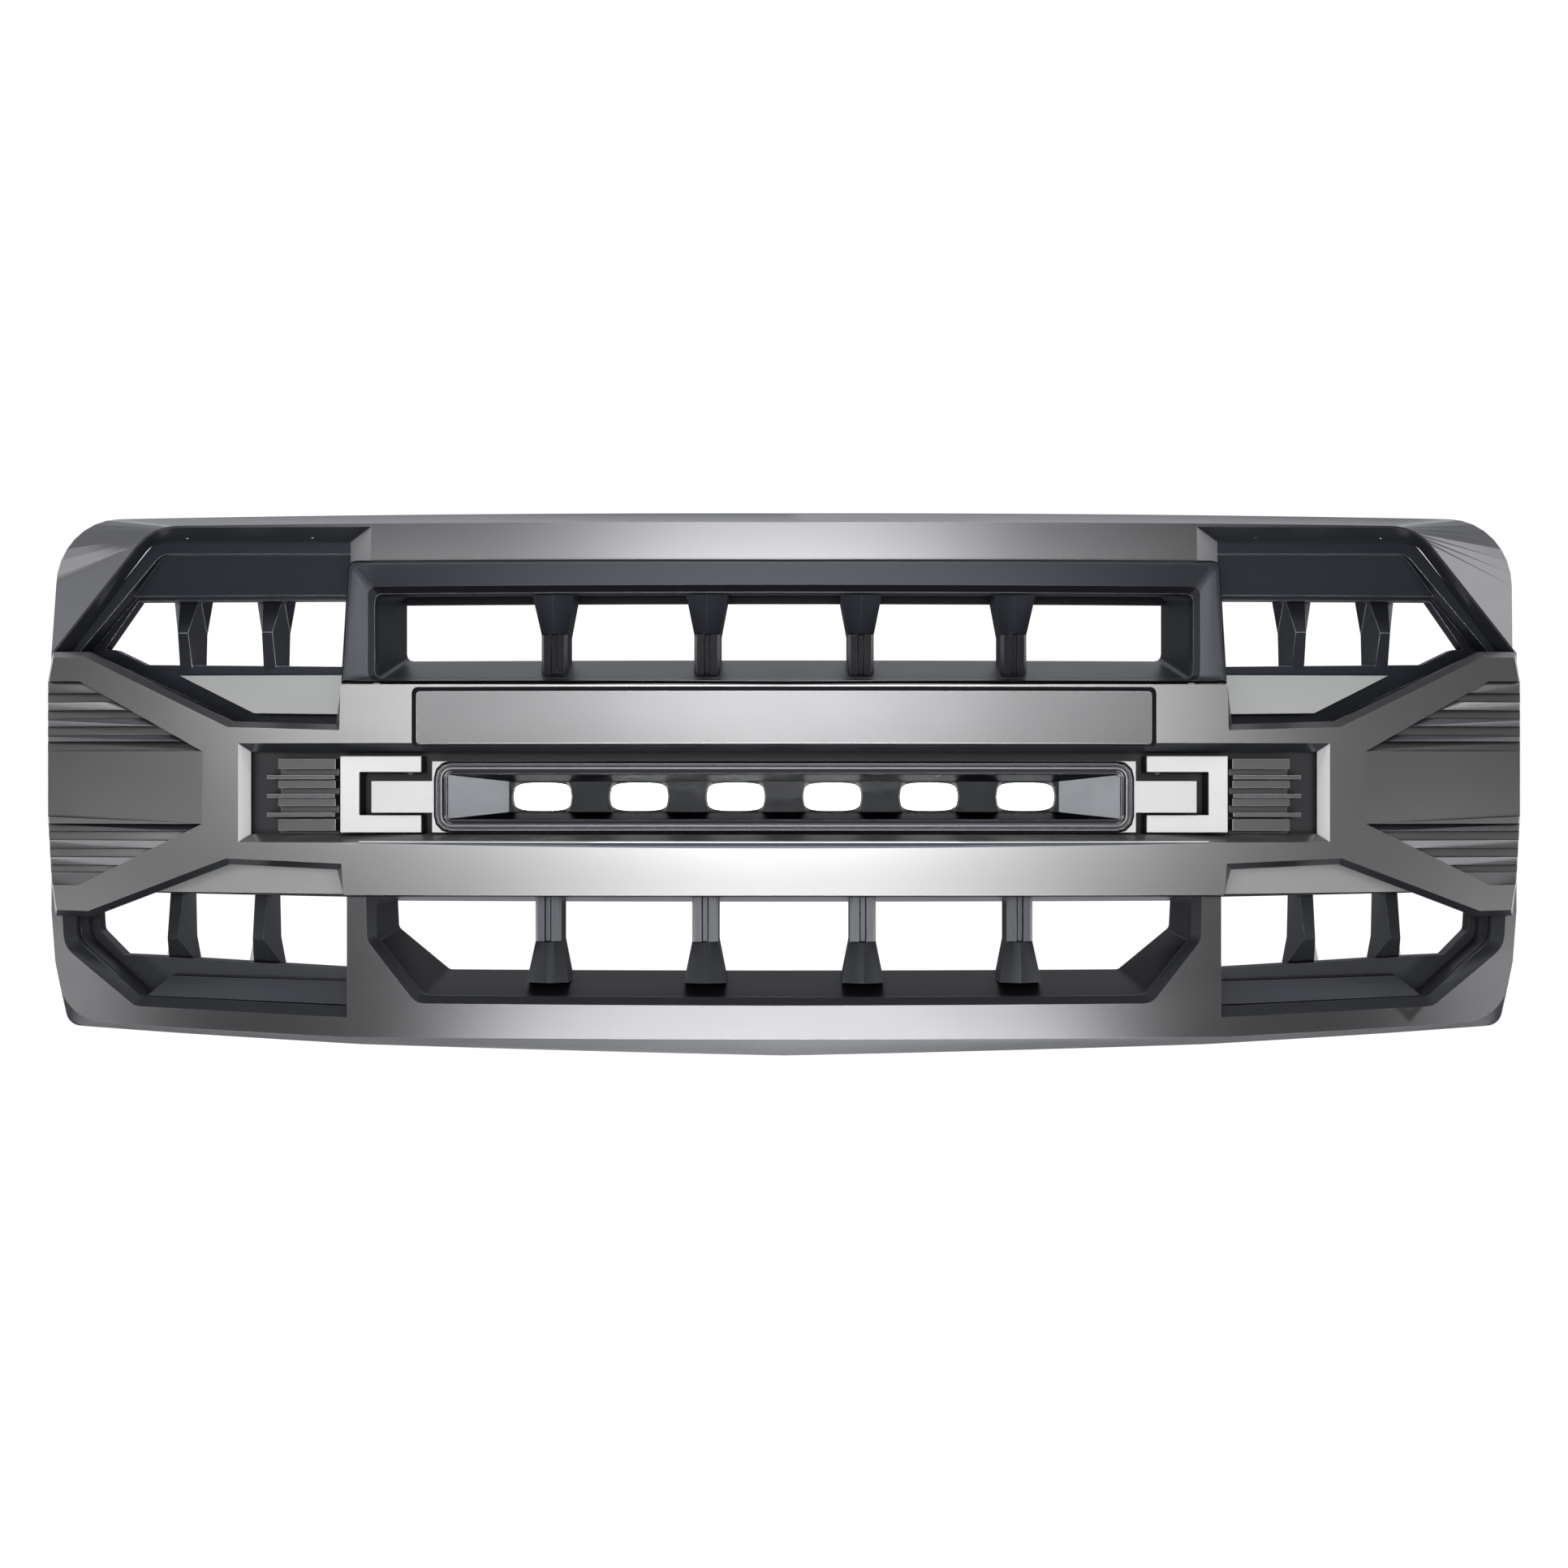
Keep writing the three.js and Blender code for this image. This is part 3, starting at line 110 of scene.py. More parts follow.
class Shader:
    """A material under construction. Sockets are passed as inputs by their names."""

    def __init__(self, name):
        self.material = bpy.data.materials.new(name)
        self.material.use_nodes = True
        self.tree = self.material.node_tree
        self.tree.nodes.clear()
        self.output = self.tree.nodes.new("ShaderNodeOutputMaterial")
        self.place = self.add("ShaderNodeTexCoord").outputs["Object"]

    def add(self, kind, inputs=None, **settings):
        node = self.tree.nodes.new(kind)
        for key, value in settings.items():
            setattr(node, key, value)
        for key, value in (inputs or {}).items():
            if isinstance(value, bpy.types.NodeSocket):
                self.tree.links.new(value, node.inputs[key])
            else:
                node.inputs[key].default_value = value
        return node

    def noise(self, size, detail=2.0, roughness=0.5, stretch=None):
        """Noise from 0 to 1 whose blobs are about the given size."""
        place = self.place
        if stretch:
            place = self.add("ShaderNodeMapping", {"Vector": place, "Scale": stretch}).outputs[0]
        inputs = {"Vector": place, "Scale": 1 / size, "Detail": detail, "Roughness": roughness}
        return self.add("ShaderNodeTexNoise", inputs).outputs["Fac"]

    def remap(self, value, low, high, out_low, out_high):
        inputs = {"Value": value, "From Min": low, "From Max": high, "To Min": out_low, "To Max": out_high}
        return self.add("ShaderNodeMapRange", inputs).outputs[0]

    def math(self, operation, a, b=0.0):
        return self.add("ShaderNodeMath", {0: a, 1: b}, operation=operation).outputs[0]

    def mix(self, factor, a, b):
        node = self.add("ShaderNodeMix", {"Factor": factor}, data_type="RGBA")
        for socket, value in ((node.inputs[6], a), (node.inputs[7], b)):
            if isinstance(value, bpy.types.NodeSocket):
                self.tree.links.new(value, socket)
            else:
                socket.default_value = (*value, 1)
        return node.outputs[2]

    def bump(self, height, distance, strength=1.0, normal=None):
        inputs = {"Height": height, "Distance": distance, "Strength": strength}
        if normal is not None:
            inputs["Normal"] = normal
        return self.add("ShaderNodeBump", inputs).outputs[0]

    def edge_mask(self, radius, threshold):
        """1 on the corners that stick out or fold in, 0 on flat faces."""
        rounded = self.add("ShaderNodeBevel", {"Radius": radius}, samples=4).outputs[0]
        flat = self.add("ShaderNodeNewGeometry").outputs["Normal"]
        compare = self.add("ShaderNodeVectorMath", {0: rounded, 1: flat}, operation="DOT_PRODUCT")
        agreement = compare.outputs["Value"]
        return self.remap(agreement, threshold - 0.1, 0.97, 1.0, 0.0)

    def crevices(self, reach):
        """1 deep in seams and inner corners, 0 on open faces."""
        open_share = self.add("ShaderNodeAmbientOcclusion", {"Distance": reach}, samples=6).outputs["AO"]
        return self.remap(open_share, 0.40, 0.80, 1.0, 0.0)

    def principled(self, **values):
        names = {"color": "Base Color", "ior": "IOR", "specular_ior_level": "Specular IOR Level"}
        inputs = {}
        for key, value in values.items():
            name = names.get(key, key.replace("_", " ").title())
            inputs[name] = (*value, 1) if isinstance(value, tuple) and len(value) == 3 else value
        shader = self.add("ShaderNodeBsdfPrincipled", inputs)
        self.finish(shader.outputs[0])
        return shader

    def finish(self, surface):
        self.tree.links.new(surface, self.output.inputs["Surface"])


EDGE_HIGHLIGHTS = {}  # the light, glossy fillet copy of each plastic: a painted highlight along its edges


def moulded_plastic(name, color, metallic, roughness, specular=0.5, wear_and_highlight=0.5):
    """Satin moulded plastic: fine spark-eroded grain, slow tone drift, edges lightened partly as wear and
    partly as a painted highlight, and painted shade in the seams.

    In denoised renders a roughness that varies across about 0.274 drew contour lines, so each plastic's
    roughness, with its spread, stays on one side of that.
    """
    s = Shader(name)
    drift = s.noise(90 * MM, detail=3)
    speckle = s.noise(1.1 * MM, detail=2)
    dark = tuple(0.92 * c for c in color)
    light = tuple(1.07 * c for c in color)
    cloud = s.math("ADD", s.math("MULTIPLY", drift, 0.6), s.math("MULTIPLY", speckle, 0.4))
    tone = s.mix(cloud, dark, light)
    # lighter edges: partly wear, partly a painted highlight along them
    patchy = s.remap(s.noise(14 * MM, detail=4), 0.35, 0.7, 0.2, 1.0)
    edges = s.math("MULTIPLY", s.edge_mask(0.9 * MM, 0.9), patchy)
    lighter_edge = tuple(min(1.0, 1.8 * c + 0.05) for c in color)
    tone = s.mix(s.math("MULTIPLY", edges, wear_and_highlight), tone, lighter_edge)
    smear = s.noise(60 * MM, detail=1, stretch=(1, 1, 2.5))
    rough = s.remap(smear, 0.2, 0.8, roughness - 0.008, roughness + 0.008)
    # painted shade: seams and inner corners darkened and their reflection weakened by ambient occlusion
    crevice_shade = s.crevices(3 * MM)
    tone = s.mix(s.math("MULTIPLY", crevice_shade, 0.92), tone, (0.004, 0.004, 0.005))
    gloss = s.remap(crevice_shade, 0.0, 1.0, specular, 0.0)
    grain = s.bump(s.noise(0.35 * MM, detail=1), 0.006 * MM, 0.5)
    peel = s.bump(s.noise(5 * MM, detail=1), 0.01 * MM, 0.15, grain)
    s.principled(color=tone, metallic=metallic, roughness=rough, ior=1.5,
                 specular_ior_level=gloss, normal=peel)
    return s.material


def plastic_with_edges(name, color, metallic, roughness, shine, **options):
    """A moulded plastic and a light, glossy copy of it for its fillets, a painted highlight whose
    reflectance is `shine`.
    """
    body = moulded_plastic(name, color, metallic, roughness, **options)
    # painted highlight: the fillets' copy is light and nearly metallic
    EDGE_HIGHLIGHTS[body] = moulded_plastic(name + "_edge", (shine, shine, 1.02 * shine), 0.9, roughness - 0.04)
    return body


def coated_metal(name, color, metallic, roughness):
    """Powder-coated or cast metal with a pebbled surface."""
    s = Shader(name)
    pebble = s.noise(0.6 * MM, detail=2)
    tone = s.mix(pebble, tuple(0.8 * c for c in color), tuple(1.2 * c for c in color))
    edges = s.edge_mask(0.7 * MM, 0.9)
    lighter_edge = tuple(min(1.0, 2 * c + 0.05) for c in color)
    tone = s.mix(s.math("MULTIPLY", edges, 0.35), tone, lighter_edge)
    rough = s.remap(s.noise(20 * MM, detail=4), 0.3, 0.7, roughness - 0.06, roughness + 0.06)
    s.principled(color=tone, metallic=metallic, roughness=rough,
                 normal=s.bump(pebble, 0.03 * MM, 0.5))
    return s.material


def zinc_plating(name):
    """Bright zinc with streaks, faint spangle and a slightly yellow passivation."""
    s = Shader(name)
    spangle = s.add("ShaderNodeTexVoronoi", {"Vector": s.place, "Scale": 1 / (2.5 * MM)}).outputs["Color"]
    spangle = s.add("ShaderNodeSeparateColor", {"Color": spangle}).outputs[0]
    tone = s.mix(spangle, (0.50, 0.51, 0.52), (0.66, 0.65, 0.60))
    streaks = s.noise(3 * MM, detail=4, stretch=(6, 1, 1))
    s.principled(color=tone, metallic=1.0, roughness=s.remap(streaks, 0.3, 0.7, 0.29, 0.45),
                 normal=s.bump(streaks, 0.02 * MM, 0.4))
    return s.material


def rubber(name):
    s = Shader(name)
    dust = s.noise(12 * MM, detail=5)
    tone = s.mix(s.remap(dust, 0.45, 0.75, 0.0, 1.0), (0.012, 0.012, 0.013), (0.035, 0.034, 0.032))
    s.principled(color=tone, roughness=s.remap(dust, 0.3, 0.7, 0.7, 0.9),
                 normal=s.bump(s.noise(0.5 * MM), 0.03 * MM, 0.6))
    return s.material


def circuit_board(name):
    """Solder mask over copper tracks, with tinned pads."""
    s = Shader(name)
    cells = {"Vector": s.place, "Scale": 1 / (6 * MM), "Randomness": 0.6}
    tracks = s.add("ShaderNodeTexVoronoi", cells, feature="DISTANCE_TO_EDGE", distance="EUCLIDEAN")
    track = s.remap(tracks.outputs["Distance"], 0.05, 0.08, 1.0, 0.0)
    mask = s.mix(track, (0.008, 0.060, 0.028), (0.016, 0.120, 0.050))
    centres = s.add("ShaderNodeTexVoronoi", cells, feature="F1").outputs["Distance"]
    pads = s.remap(centres, 0.14, 0.16, 1.0, 0.0)
    tone = s.mix(pads, mask, (0.55, 0.55, 0.53))
    s.principled(color=tone, metallic=pads, roughness=s.remap(pads, 0, 1, 0.4, 0.3),
                 normal=s.bump(track, 0.04 * MM, 0.7))
    return s.material


def clear_cover(name, tint, gloss):
    """Thin clear moulding: light passes straight through and the sheen grows at grazing angles."""
    s = Shader(name)
    ripple = s.bump(s.noise(25 * MM, detail=1), 0.03 * MM, 0.3)
    facing = s.add("ShaderNodeLayerWeight", {"Blend": 0.25, "Normal": ripple}).outputs["Fresnel"]
    through = s.add("ShaderNodeBsdfTransparent", {"Color": (*tint, 1)}).outputs[0]
    haze = s.remap(s.noise(8 * MM, detail=4), 0.4, 0.7, 0.02, 0.07)
    mirror = {"Color": (1, 1, 1, 1), "Roughness": haze, "Normal": ripple}
    shine = s.add("ShaderNodeBsdfGlossy", mirror).outputs[0]
    amount = s.math("MULTIPLY", facing, gloss)
    s.finish(s.add("ShaderNodeMixShader", {0: amount, 1: through, 2: shine}).outputs[0])
    return s.material


def lit_optic(name, strength):
    """A lit light-emitting diode seen through its optic: hot middle, softer rim, moulded flutes."""
    s = Shader(name)
    flutes = s.noise(2.2 * MM, detail=1, stretch=(1, 1, 0.2))
    facing = s.add("ShaderNodeLayerWeight", {"Blend": 0.5}).outputs["Facing"]
    power = s.math("MULTIPLY", s.remap(flutes, 0.3, 0.7, 0.75 * strength, 1.25 * strength),
                   s.remap(facing, 0.0, 1.0, 1.0, 0.35))
    s.finish(s.add("ShaderNodeEmission", {"Color": (1, 1, 1, 1), "Strength": power}).outputs[0])
    return s.material


def milky_diffuser(name, color, roughness):
    """White light-guide plastic with a soft skin of its own."""
    s = Shader(name)
    cloud = s.noise(18 * MM, detail=3)
    tone = s.mix(cloud, tuple(0.93 * c for c in color), color)
    s.principled(color=tone, roughness=s.remap(cloud, 0.3, 0.7, roughness - 0.05, roughness + 0.05),
                 coat_weight=0.3, coat_roughness=0.2, normal=s.bump(s.noise(0.5 * MM), 0.01 * MM, 0.4))
    return s.material


def smoked_reflector(name, field, facets, roughness):
    """Smoked metallised plastic with a trace of orange peel; its end facets are painted brighter and its
    upward slopes painted black, as painted light and shade.
    """
    s = Shader(name)
    peel = s.noise(4 * MM, detail=2)
    normal = s.add("ShaderNodeSeparateXYZ", {0: s.add("ShaderNodeNewGeometry").outputs["Normal"]})
    # painted highlight: faces turned sideways, the end facets, take the lighter colour
    sideways = s.math("ABSOLUTE", normal.outputs["X"])
    tone = s.mix(s.remap(sideways, 0.08, 0.16, 0.0, 1.0), field, facets)
    # painted shade: faces turned upwards go black and lose their reflection
    tone = s.mix(s.remap(normal.outputs["Z"], 0.2, 0.5, 0.0, 1.0), tone, (0.0, 0.0, 0.0))
    gloss = s.remap(normal.outputs["Z"], 0.2, 0.5, 0.06, 0.0)
    tone = s.mix(s.math("MULTIPLY", s.noise(30 * MM, detail=3), 0.3), tone, (0.0, 0.0, 0.0))
    rough = s.remap(peel, 0.3, 0.7, roughness - 0.04, roughness + 0.04)
    s.principled(color=tone, metallic=0.5, roughness=rough,
                 specular_ior_level=gloss, normal=s.bump(peel, 0.02 * MM, 0.4))
    return s.material


SURROUND = plastic_with_edges("surround_plastic", (0.054, 0.054, 0.056), 0.85, 0.23, 0.25)
# painted shade: a darker copy of the plastic for inward walls and chamfers, the belt's downward faces and
# its louvre steps
SHADED = moulded_plastic("shaded_plastic", (0.014, 0.015, 0.018), 0.5, 0.34, specular=0.2)
# painted shade: the frame is made darker than the surround's plastic, for the dark room its tilt reflects
FRAME = plastic_with_edges("frame_plastic", (0.007, 0.008, 0.010), 0.4, 0.30, 0.22, specular=0.12)
# painted light: the belt is made lighter than the surround's plastic, for the brighter light its tilt
# catches
BELT = plastic_with_edges("belt_plastic", (0.085, 0.085, 0.086), 0.85, 0.285, 0.30)
# painted highlight: a light copy of the plastic for the lamp recess's end bevels and the strip above the
# lower bar's lip
BRIGHT = moulded_plastic("painted_highlight_plastic", (0.270, 0.270, 0.270), 0.3, 0.40)
# painted shade: a dark bluish copy of the plastic for the lower bar's lip
LIP = moulded_plastic("lip_plastic", (0.022, 0.024, 0.030), 0.6, 0.30, specular=0.2)
PLATE = plastic_with_edges("plate_plastic", (0.036, 0.0362, 0.037), 0.85, 0.25, 0.16)
# painted shade: a near-black copy of the plastic for faces deep in the ducts and the name plate's pocket
# and for faces turned from the light
BLACK = moulded_plastic("black_plastic", (0.003, 0.003, 0.004), 0.2, 0.45, specular=0.05)
DARK = plastic_with_edges("dark_plastic", (0.008, 0.009, 0.012), 0.3, 0.40, 0.22, specular=0.08)
INSERT = plastic_with_edges("insert_plastic", (0.020, 0.021, 0.024), 0.6, 0.34, 0.20, specular=0.15)
# painted light: a lighter copy of the plastic for the upward-facing sills of the upper corner inserts
SILL = moulded_plastic("sill_plastic", (0.090, 0.091, 0.090), 0.4, 0.36)
# painted light: a lighter copy of the plastic for the forward-leaning ceiling panels of the lower corner
# inserts
PANEL = moulded_plastic("panel_plastic", (0.105, 0.107, 0.105), 0.2, 0.40)
TRAY = moulded_plastic("tray_plastic", (0.006, 0.006, 0.007), 0.2, 0.42, specular=0.1)
RAILS = plastic_with_edges("rail_plastic", (0.020, 0.020, 0.021), 0.5, 0.36, 0.15, specular=0.2)
SILVER = moulded_plastic("silver_paint", (0.16, 0.16, 0.16), 0.2, 0.5, wear_and_highlight=0.1)
BLACK_METAL = coated_metal("black_metal", (0.030, 0.030, 0.032), 0.5, 0.42)
BEZEL = plastic_with_edges("bezel_plastic", (0.010, 0.010, 0.012), 0.6, 0.26, 0.07, specular=0.15)
REFLECTOR = smoked_reflector("bright_reflector", (0.004, 0.004, 0.0045), (0.055, 0.055, 0.056), 0.33)
ZINC = zinc_plating("zinc_steel")
RUBBER = rubber("black_rubber")
BOARD = circuit_board("circuit_board")
CLEAR = clear_cover("clear_lens", (0.97, 0.98, 0.99), 0.05)
DIFFUSER = milky_diffuser("white_diffuser", (0.17, 0.17, 0.168), 0.5)
OPTIC = lit_optic("led_optic", 4.0)


# ---------------------------------------------------------------- meshes

def sweep_in_bands(x):
    """The CAD bow: straight from band to band."""
    place = min(abs(x) / HALF_WIDTH, 1.0) * BOW_BANDS
    band = min(int(place), BOW_BANDS - 1)
    start = (band / BOW_BANDS) ** 2
    end = ((band + 1) / BOW_BANDS) ** 2
    return SWEEP * (start + (end - start) * (place - band))


def smooth_sweep(x):
    return SWEEP * (x / HALF_WIDTH) ** 2


def frame_mesh(node):
    """A clean bmesh of a CAD node: shared corners joined and flat areas merged."""
    bm = bmesh.new()
    bm.from_mesh(NODES[node].data)
    bmesh.ops.remove_doubles(bm, verts=bm.verts, dist=MERGE_DISTANCE)
    bmesh.ops.dissolve_limit(bm, angle_limit=math.radians(0.4), verts=bm.verts, edges=bm.edges)
    return bm


def bend_smoothly(bm):
    """Cuts the flat bands into narrow strips and lays them on the true curve."""
    step = HALF_WIDTH / BOW_BANDS / CUTS_PER_BAND
    for i in range(-BOW_BANDS * CUTS_PER_BAND + 1, BOW_BANDS * CUTS_PER_BAND):
        everything = bm.verts[:] + bm.edges[:] + bm.faces[:]
        bmesh.ops.bisect_plane(bm, geom=everything, dist=0.25 * MM,
                               plane_co=(i * step, 0, 0), plane_no=(1, 0, 0))
    for vert in bm.verts:
        vert.co.y += smooth_sweep(vert.co.x) - sweep_in_bands(vert.co.x)


def round_edges(obj, width, angle=EDGE_ANGLE):
    """Small fillets on every real edge, and face normals that keep the flats flat."""
    # the fillets take the plastic's painted-highlight copy where it has one
    lighter_edge = EDGE_HIGHLIGHTS.get(obj.data.materials[0])
    if lighter_edge:
        obj.data.materials.append(lighter_edge)
    bevel = obj.modifiers.new("fillets", "BEVEL")
    bevel.material = len(obj.data.materials) - 1 if lighter_edge else -1
    bevel.width = width
    bevel.segments = FILLET_SEGMENTS
    bevel.limit_method = "ANGLE"
    bevel.angle_limit = math.radians(angle)
    bevel.use_clamp_overlap = True
    bevel.harden_normals = False
    bevel.miter_outer = "MITER_ARC"
    weighted = obj.modifiers.new("normals", "WEIGHTED_NORMAL")
    weighted.keep_sharp = False
    weighted.weight = 50


def new_piece(name, bm, material, slot, body, *stands_for):
    mesh = bpy.data.meshes.new(name)
    for face in bm.faces:
        face.smooth = True
    bm.normal_update()
    bm.to_mesh(mesh)
    bm.free()
    mesh.materials.append(material)
    obj = bpy.data.objects.new(name, mesh)
    bpy.context.scene.collection.objects.link(obj)
    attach(obj, body)
    if stands_for:
        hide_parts(*stands_for)
    return obj


def on_front(place):
    """True on and just behind the bowed front of a moulding."""
    return place.y < cad_low.y + smooth_sweep(place.x) + FACE_DEPTH


def soften_lip(bm):
    """Leans back the top lip of the lower bar, most in its middle, under a painted highlight strip along
    its crest; the lip itself is painted shade.
    """
    for height in (LIP_TOP - LIP_HEIGHT, LIP_TOP + LIP_STRIP):
        geometry = bm.verts[:] + bm.edges[:] + bm.faces[:]
        bmesh.ops.bisect_plane(bm, geom=geometry, dist=0.05 * MM,
                               plane_co=(0, 0, height), plane_no=(0, 0, 1))
    for face in bm.faces:
        place = face.calc_center_bounds()
        under_lamp = abs(place.x) < LIP_REACH and on_front(place)
        if under_lamp and LIP_TOP < place.z < LIP_TOP + LIP_STRIP:
            face.material_index = HIGHLIGHT_STRIP_SLOT
        elif under_lamp and LIP_TOP - LIP_HEIGHT < place.z < LIP_TOP:
            face.material_index = LIP_SHADE_SLOT
    for vert in bm.verts:
        if not on_front(vert.co) or abs(vert.co.x) > LIP_REACH:
            continue
        share = 1 - (vert.co.x / LIP_REACH) ** 2
        if abs(vert.co.z - LIP_TOP) < 0.5 * MM:
            vert.co.y += LIP_FALL * share
        elif abs(vert.co.z - LIP_TOP + LIP_HEIGHT) < 0.1 * MM:
            vert.co.z = LIP_TOP - LIP_HEIGHT * max(share, LIP_THINNEST)


def looks_inward(face):
    """True for walls and chamfers that face the middle of the grille."""
    place = face.calc_center_bounds()
    out = Vector((place.x, 0, place.z - MIDDLE.z)).normalized()
    return face.normal.dot(out) < -0.15


def looks_down(face):
    return face.normal.z < -0.6


def is_belt_shadow(face):
    return looks_down(face) or is_louvre_step(face)


def nowhere(face):
    """For the lip's painted shade, which a reshape gives out by itself."""
    return False


def looks_up(face):
    return face.normal.z > 0.6


def is_plate_pocket(face):
    """The floor of the pocket round the name plate, a few millimetres behind the bar's front."""
    place = face.calc_center_bounds()
    behind_front = place.y - cad_low.y - sweep_in_bands(place.x)
    in_bar = abs(place.x) < POCKET_REACH and POCKET_LOW < place.z < POCKET_HIGH
    return looks_forward(face) and in_bar and POCKET_DEPTHS[0] < behind_front < POCKET_DEPTHS[1]


def looks_forward(face):
    return face.normal.y < -0.95


def is_louvre_step(face):
    """The narrow steps between the louvre blades."""
    place = face.calc_center_bounds()
    inside = abs(place.x) > LOUVRE_INNER and abs(place.z - MIDDLE.z) < LOUVRE_REACH
    return inside and abs(face.normal.z) > 0.5 and abs(face.normal.x) < 0.25


def is_end_bevel(face):
    """The bevels at the ends of the lamp recess."""
    return abs(face.normal.x) > 0.6 and face.normal.y < -0.4 and face.calc_area() > 500 * MM * MM


def is_sill(face):
    """The sloping panel under an upper corner window."""
    return 0.4 < face.normal.z < 0.7 and face.normal.y < -0.7 and face.calc_center_bounds().z < SILL_TOP


def is_ceiling(face):
    """The panel above a lower corner window, which leans forward."""
    return -0.3 < face.normal.z < -0.06 and face.normal.y < -0.9


def moulding(node, material, slot, fillet=0.8 * MM, areas=(), reshape=None):
    """A bowed moulding in place of its banded CAD node; `areas` pairs other materials, painted light and
    shade, with their faces.
    """
    bm = frame_mesh(node)
    bm.normal_update()
    for face in bm.faces:
        for index, (_, belongs) in enumerate(areas, start=1):
            if belongs(face):
                face.material_index = index
    bend_smoothly(bm)
    if reshape:
        reshape(bm)
    obj = new_piece(node + "_moulding", bm, material, slot, BODY_OF[node], node)
    for finish, _ in areas:
        obj.data.materials.append(finish)
    round_edges(obj, fillet)
    return obj


def dress(node, material, fillet, angle):
    """A CAD node kept as it is, with filleted edges and a real finish; without a fillet it stays flat."""
    obj = NODES[node]
    obj.data.materials.clear()
    obj.data.materials.append(material)
    if not fillet:
        return
    for polygon in obj.data.polygons:
        polygon.use_smooth = True
    obj.modifiers.new("joined", "WELD").merge_threshold = MERGE_DISTANCE
    flats = obj.modifiers.new("flats", "DECIMATE")
    flats.decimate_type = "DISSOLVE"
    flats.angle_limit = math.radians(0.6)
    round_edges(obj, fillet, angle)


def squared(share):
    """A sine or cosine pushed outwards, so that an ellipse becomes a rounded rectangle."""
    return math.copysign(abs(share) ** OPTIC_SQUARENESS, share)


def led_optics():
    """The six lit optics: a domed, fluted insert that fills each cup of the reflector."""
    low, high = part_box("light_bar_reflector")
    middle_z = (low.z + high.z) / 2
    front = low.y + 10 * MM
    for index in range(LED_COUNT):
        x = (index - (LED_COUNT - 1) / 2) * LED_PITCH
        bm = bmesh.new()
        rings = []
        for share, depth in ((1.0, 4.0), (0.97, 1.2), (0.88, 0.4), (0.6, 0.0), (0.25, -0.3)):
            ring = []
            for step in range(OPTIC_STEPS):
                turn = 2 * math.pi * step / OPTIC_STEPS
                across = CUP_RADIUS * squared(math.cos(turn))
                up = CUP_HALF_HEIGHT * squared(math.sin(turn))
                ring.append(bm.verts.new((x + share * across, front + depth * MM, middle_z + share * up)))
            rings.append(ring)
        for outer, inner in zip(rings, rings[1:]):
            for step in range(OPTIC_STEPS):
                following = (step + 1) % OPTIC_STEPS
                bm.faces.new((outer[step], outer[following], inner[following], inner[step]))
        bm.faces.new(rings[-1])
        bm.faces.new(rings[0][::-1])
        bmesh.ops.recalc_face_normals(bm, faces=bm.faces)
        new_piece(f"led_optic_{index + 1}", bm, OPTIC, "white_diffuser", "light_bar")


# ---------------------------------------------------------------- the grille

# painted shade: the surround's inward walls and chamfers take the shaded plastic
moulding("outer_surround", SURROUND, "graphite_plastic", areas=[(SHADED, looks_inward)])
# painted shade: the frame's downward faces go black
moulding("upper_frame", FRAME, "graphite_plastic", areas=[(BLACK, looks_down)])
# painted light and shade on the belt: shaded plastic on downward faces and louvre steps, a painted
# highlight on the recess's end bevels, the lip's painted shade and black in the name plate's pocket
BELT_AREAS = [(SHADED, is_belt_shadow), (BRIGHT, is_end_bevel), (LIP, nowhere), (BLACK, is_plate_pocket)]
moulding("cross_belt", BELT, "graphite_plastic", areas=BELT_AREAS, reshape=soften_lip)
moulding("name_plate", PLATE, "graphite_plastic", 0.4 * MM)
# painted shade: forward- and downward-facing faces deep in the upper ducts go black
moulding("upper_fin_insert", DARK, "dark_plastic", 0.6 * MM, [(BLACK, looks_forward), (BLACK, looks_down)])
# painted shade: the lower ducts' upward faces go black
moulding("lower_fin_insert", INSERT, "dark_plastic", 0.6 * MM, [(BLACK, looks_up)])
for side in SIDES:
    # painted light: the sills and ceiling panels take lighter plastic
    moulding("corner_insert_upper_" + side, DARK, "dark_plastic", 0.6 * MM, [(SILL, is_sill)])
    moulding("corner_insert_lower_" + side, INSERT, "dark_plastic", 0.6 * MM, [(PANEL, is_ceiling)])
led_optics()

FINISHES = {
    "lamp_tray": (TRAY, 0.5),
    "vent_rails": (RAILS, 0.5),
    "marker_lens": (DIFFUSER, 0.6),
    "marker_housing": (DARK, 0),
    "marker_led_board": (BOARD, 0),
    "light_bar_housing": (BLACK_METAL, 0.4),
    "light_bar_gasket": (RUBBER, 0.2),
    "light_bar_lens": (CLEAR, 0.3),
    "light_bar_bezel": (BEZEL, 0.4),
    "light_bar_reflector": (REFLECTOR, 0.25),
    "light_bar_led_board": (BOARD, 0.15),
    "light_bar_end_cap": (SILVER, 0.5),
    "pivot_bolt": (ZINC, 0.2),
    "aim_lock_bolt": (ZINC, 0.2),
    "cable_gland": (RUBBER, 0.2),
    "vent_plug": (RUBBER, 0.2),
    "wiring_loom": (RUBBER, 0.1),
    "harness_connector": (DARK, 0.3),
    "light_bar_bracket": (BLACK_METAL, 0.3),
    "bracket_screw": (BLACK_METAL, 0.15),
    "insert_screw": (ZINC, 0.15),
    "speed_nut": (ZINC, 0.1),
    "spring_clip": (ZINC, 0.1),
}
for node in NODES:
    if NODES[node].hide_render:
        continue
    family = next(key for key in FINISHES if node.startswith(key))
    material, fillet = FINISHES[family]
    dress(node, material, fillet * MM, FACET_ANGLE if material is REFLECTOR else EDGE_ANGLE)


# ---------------------------------------------------------------- studio

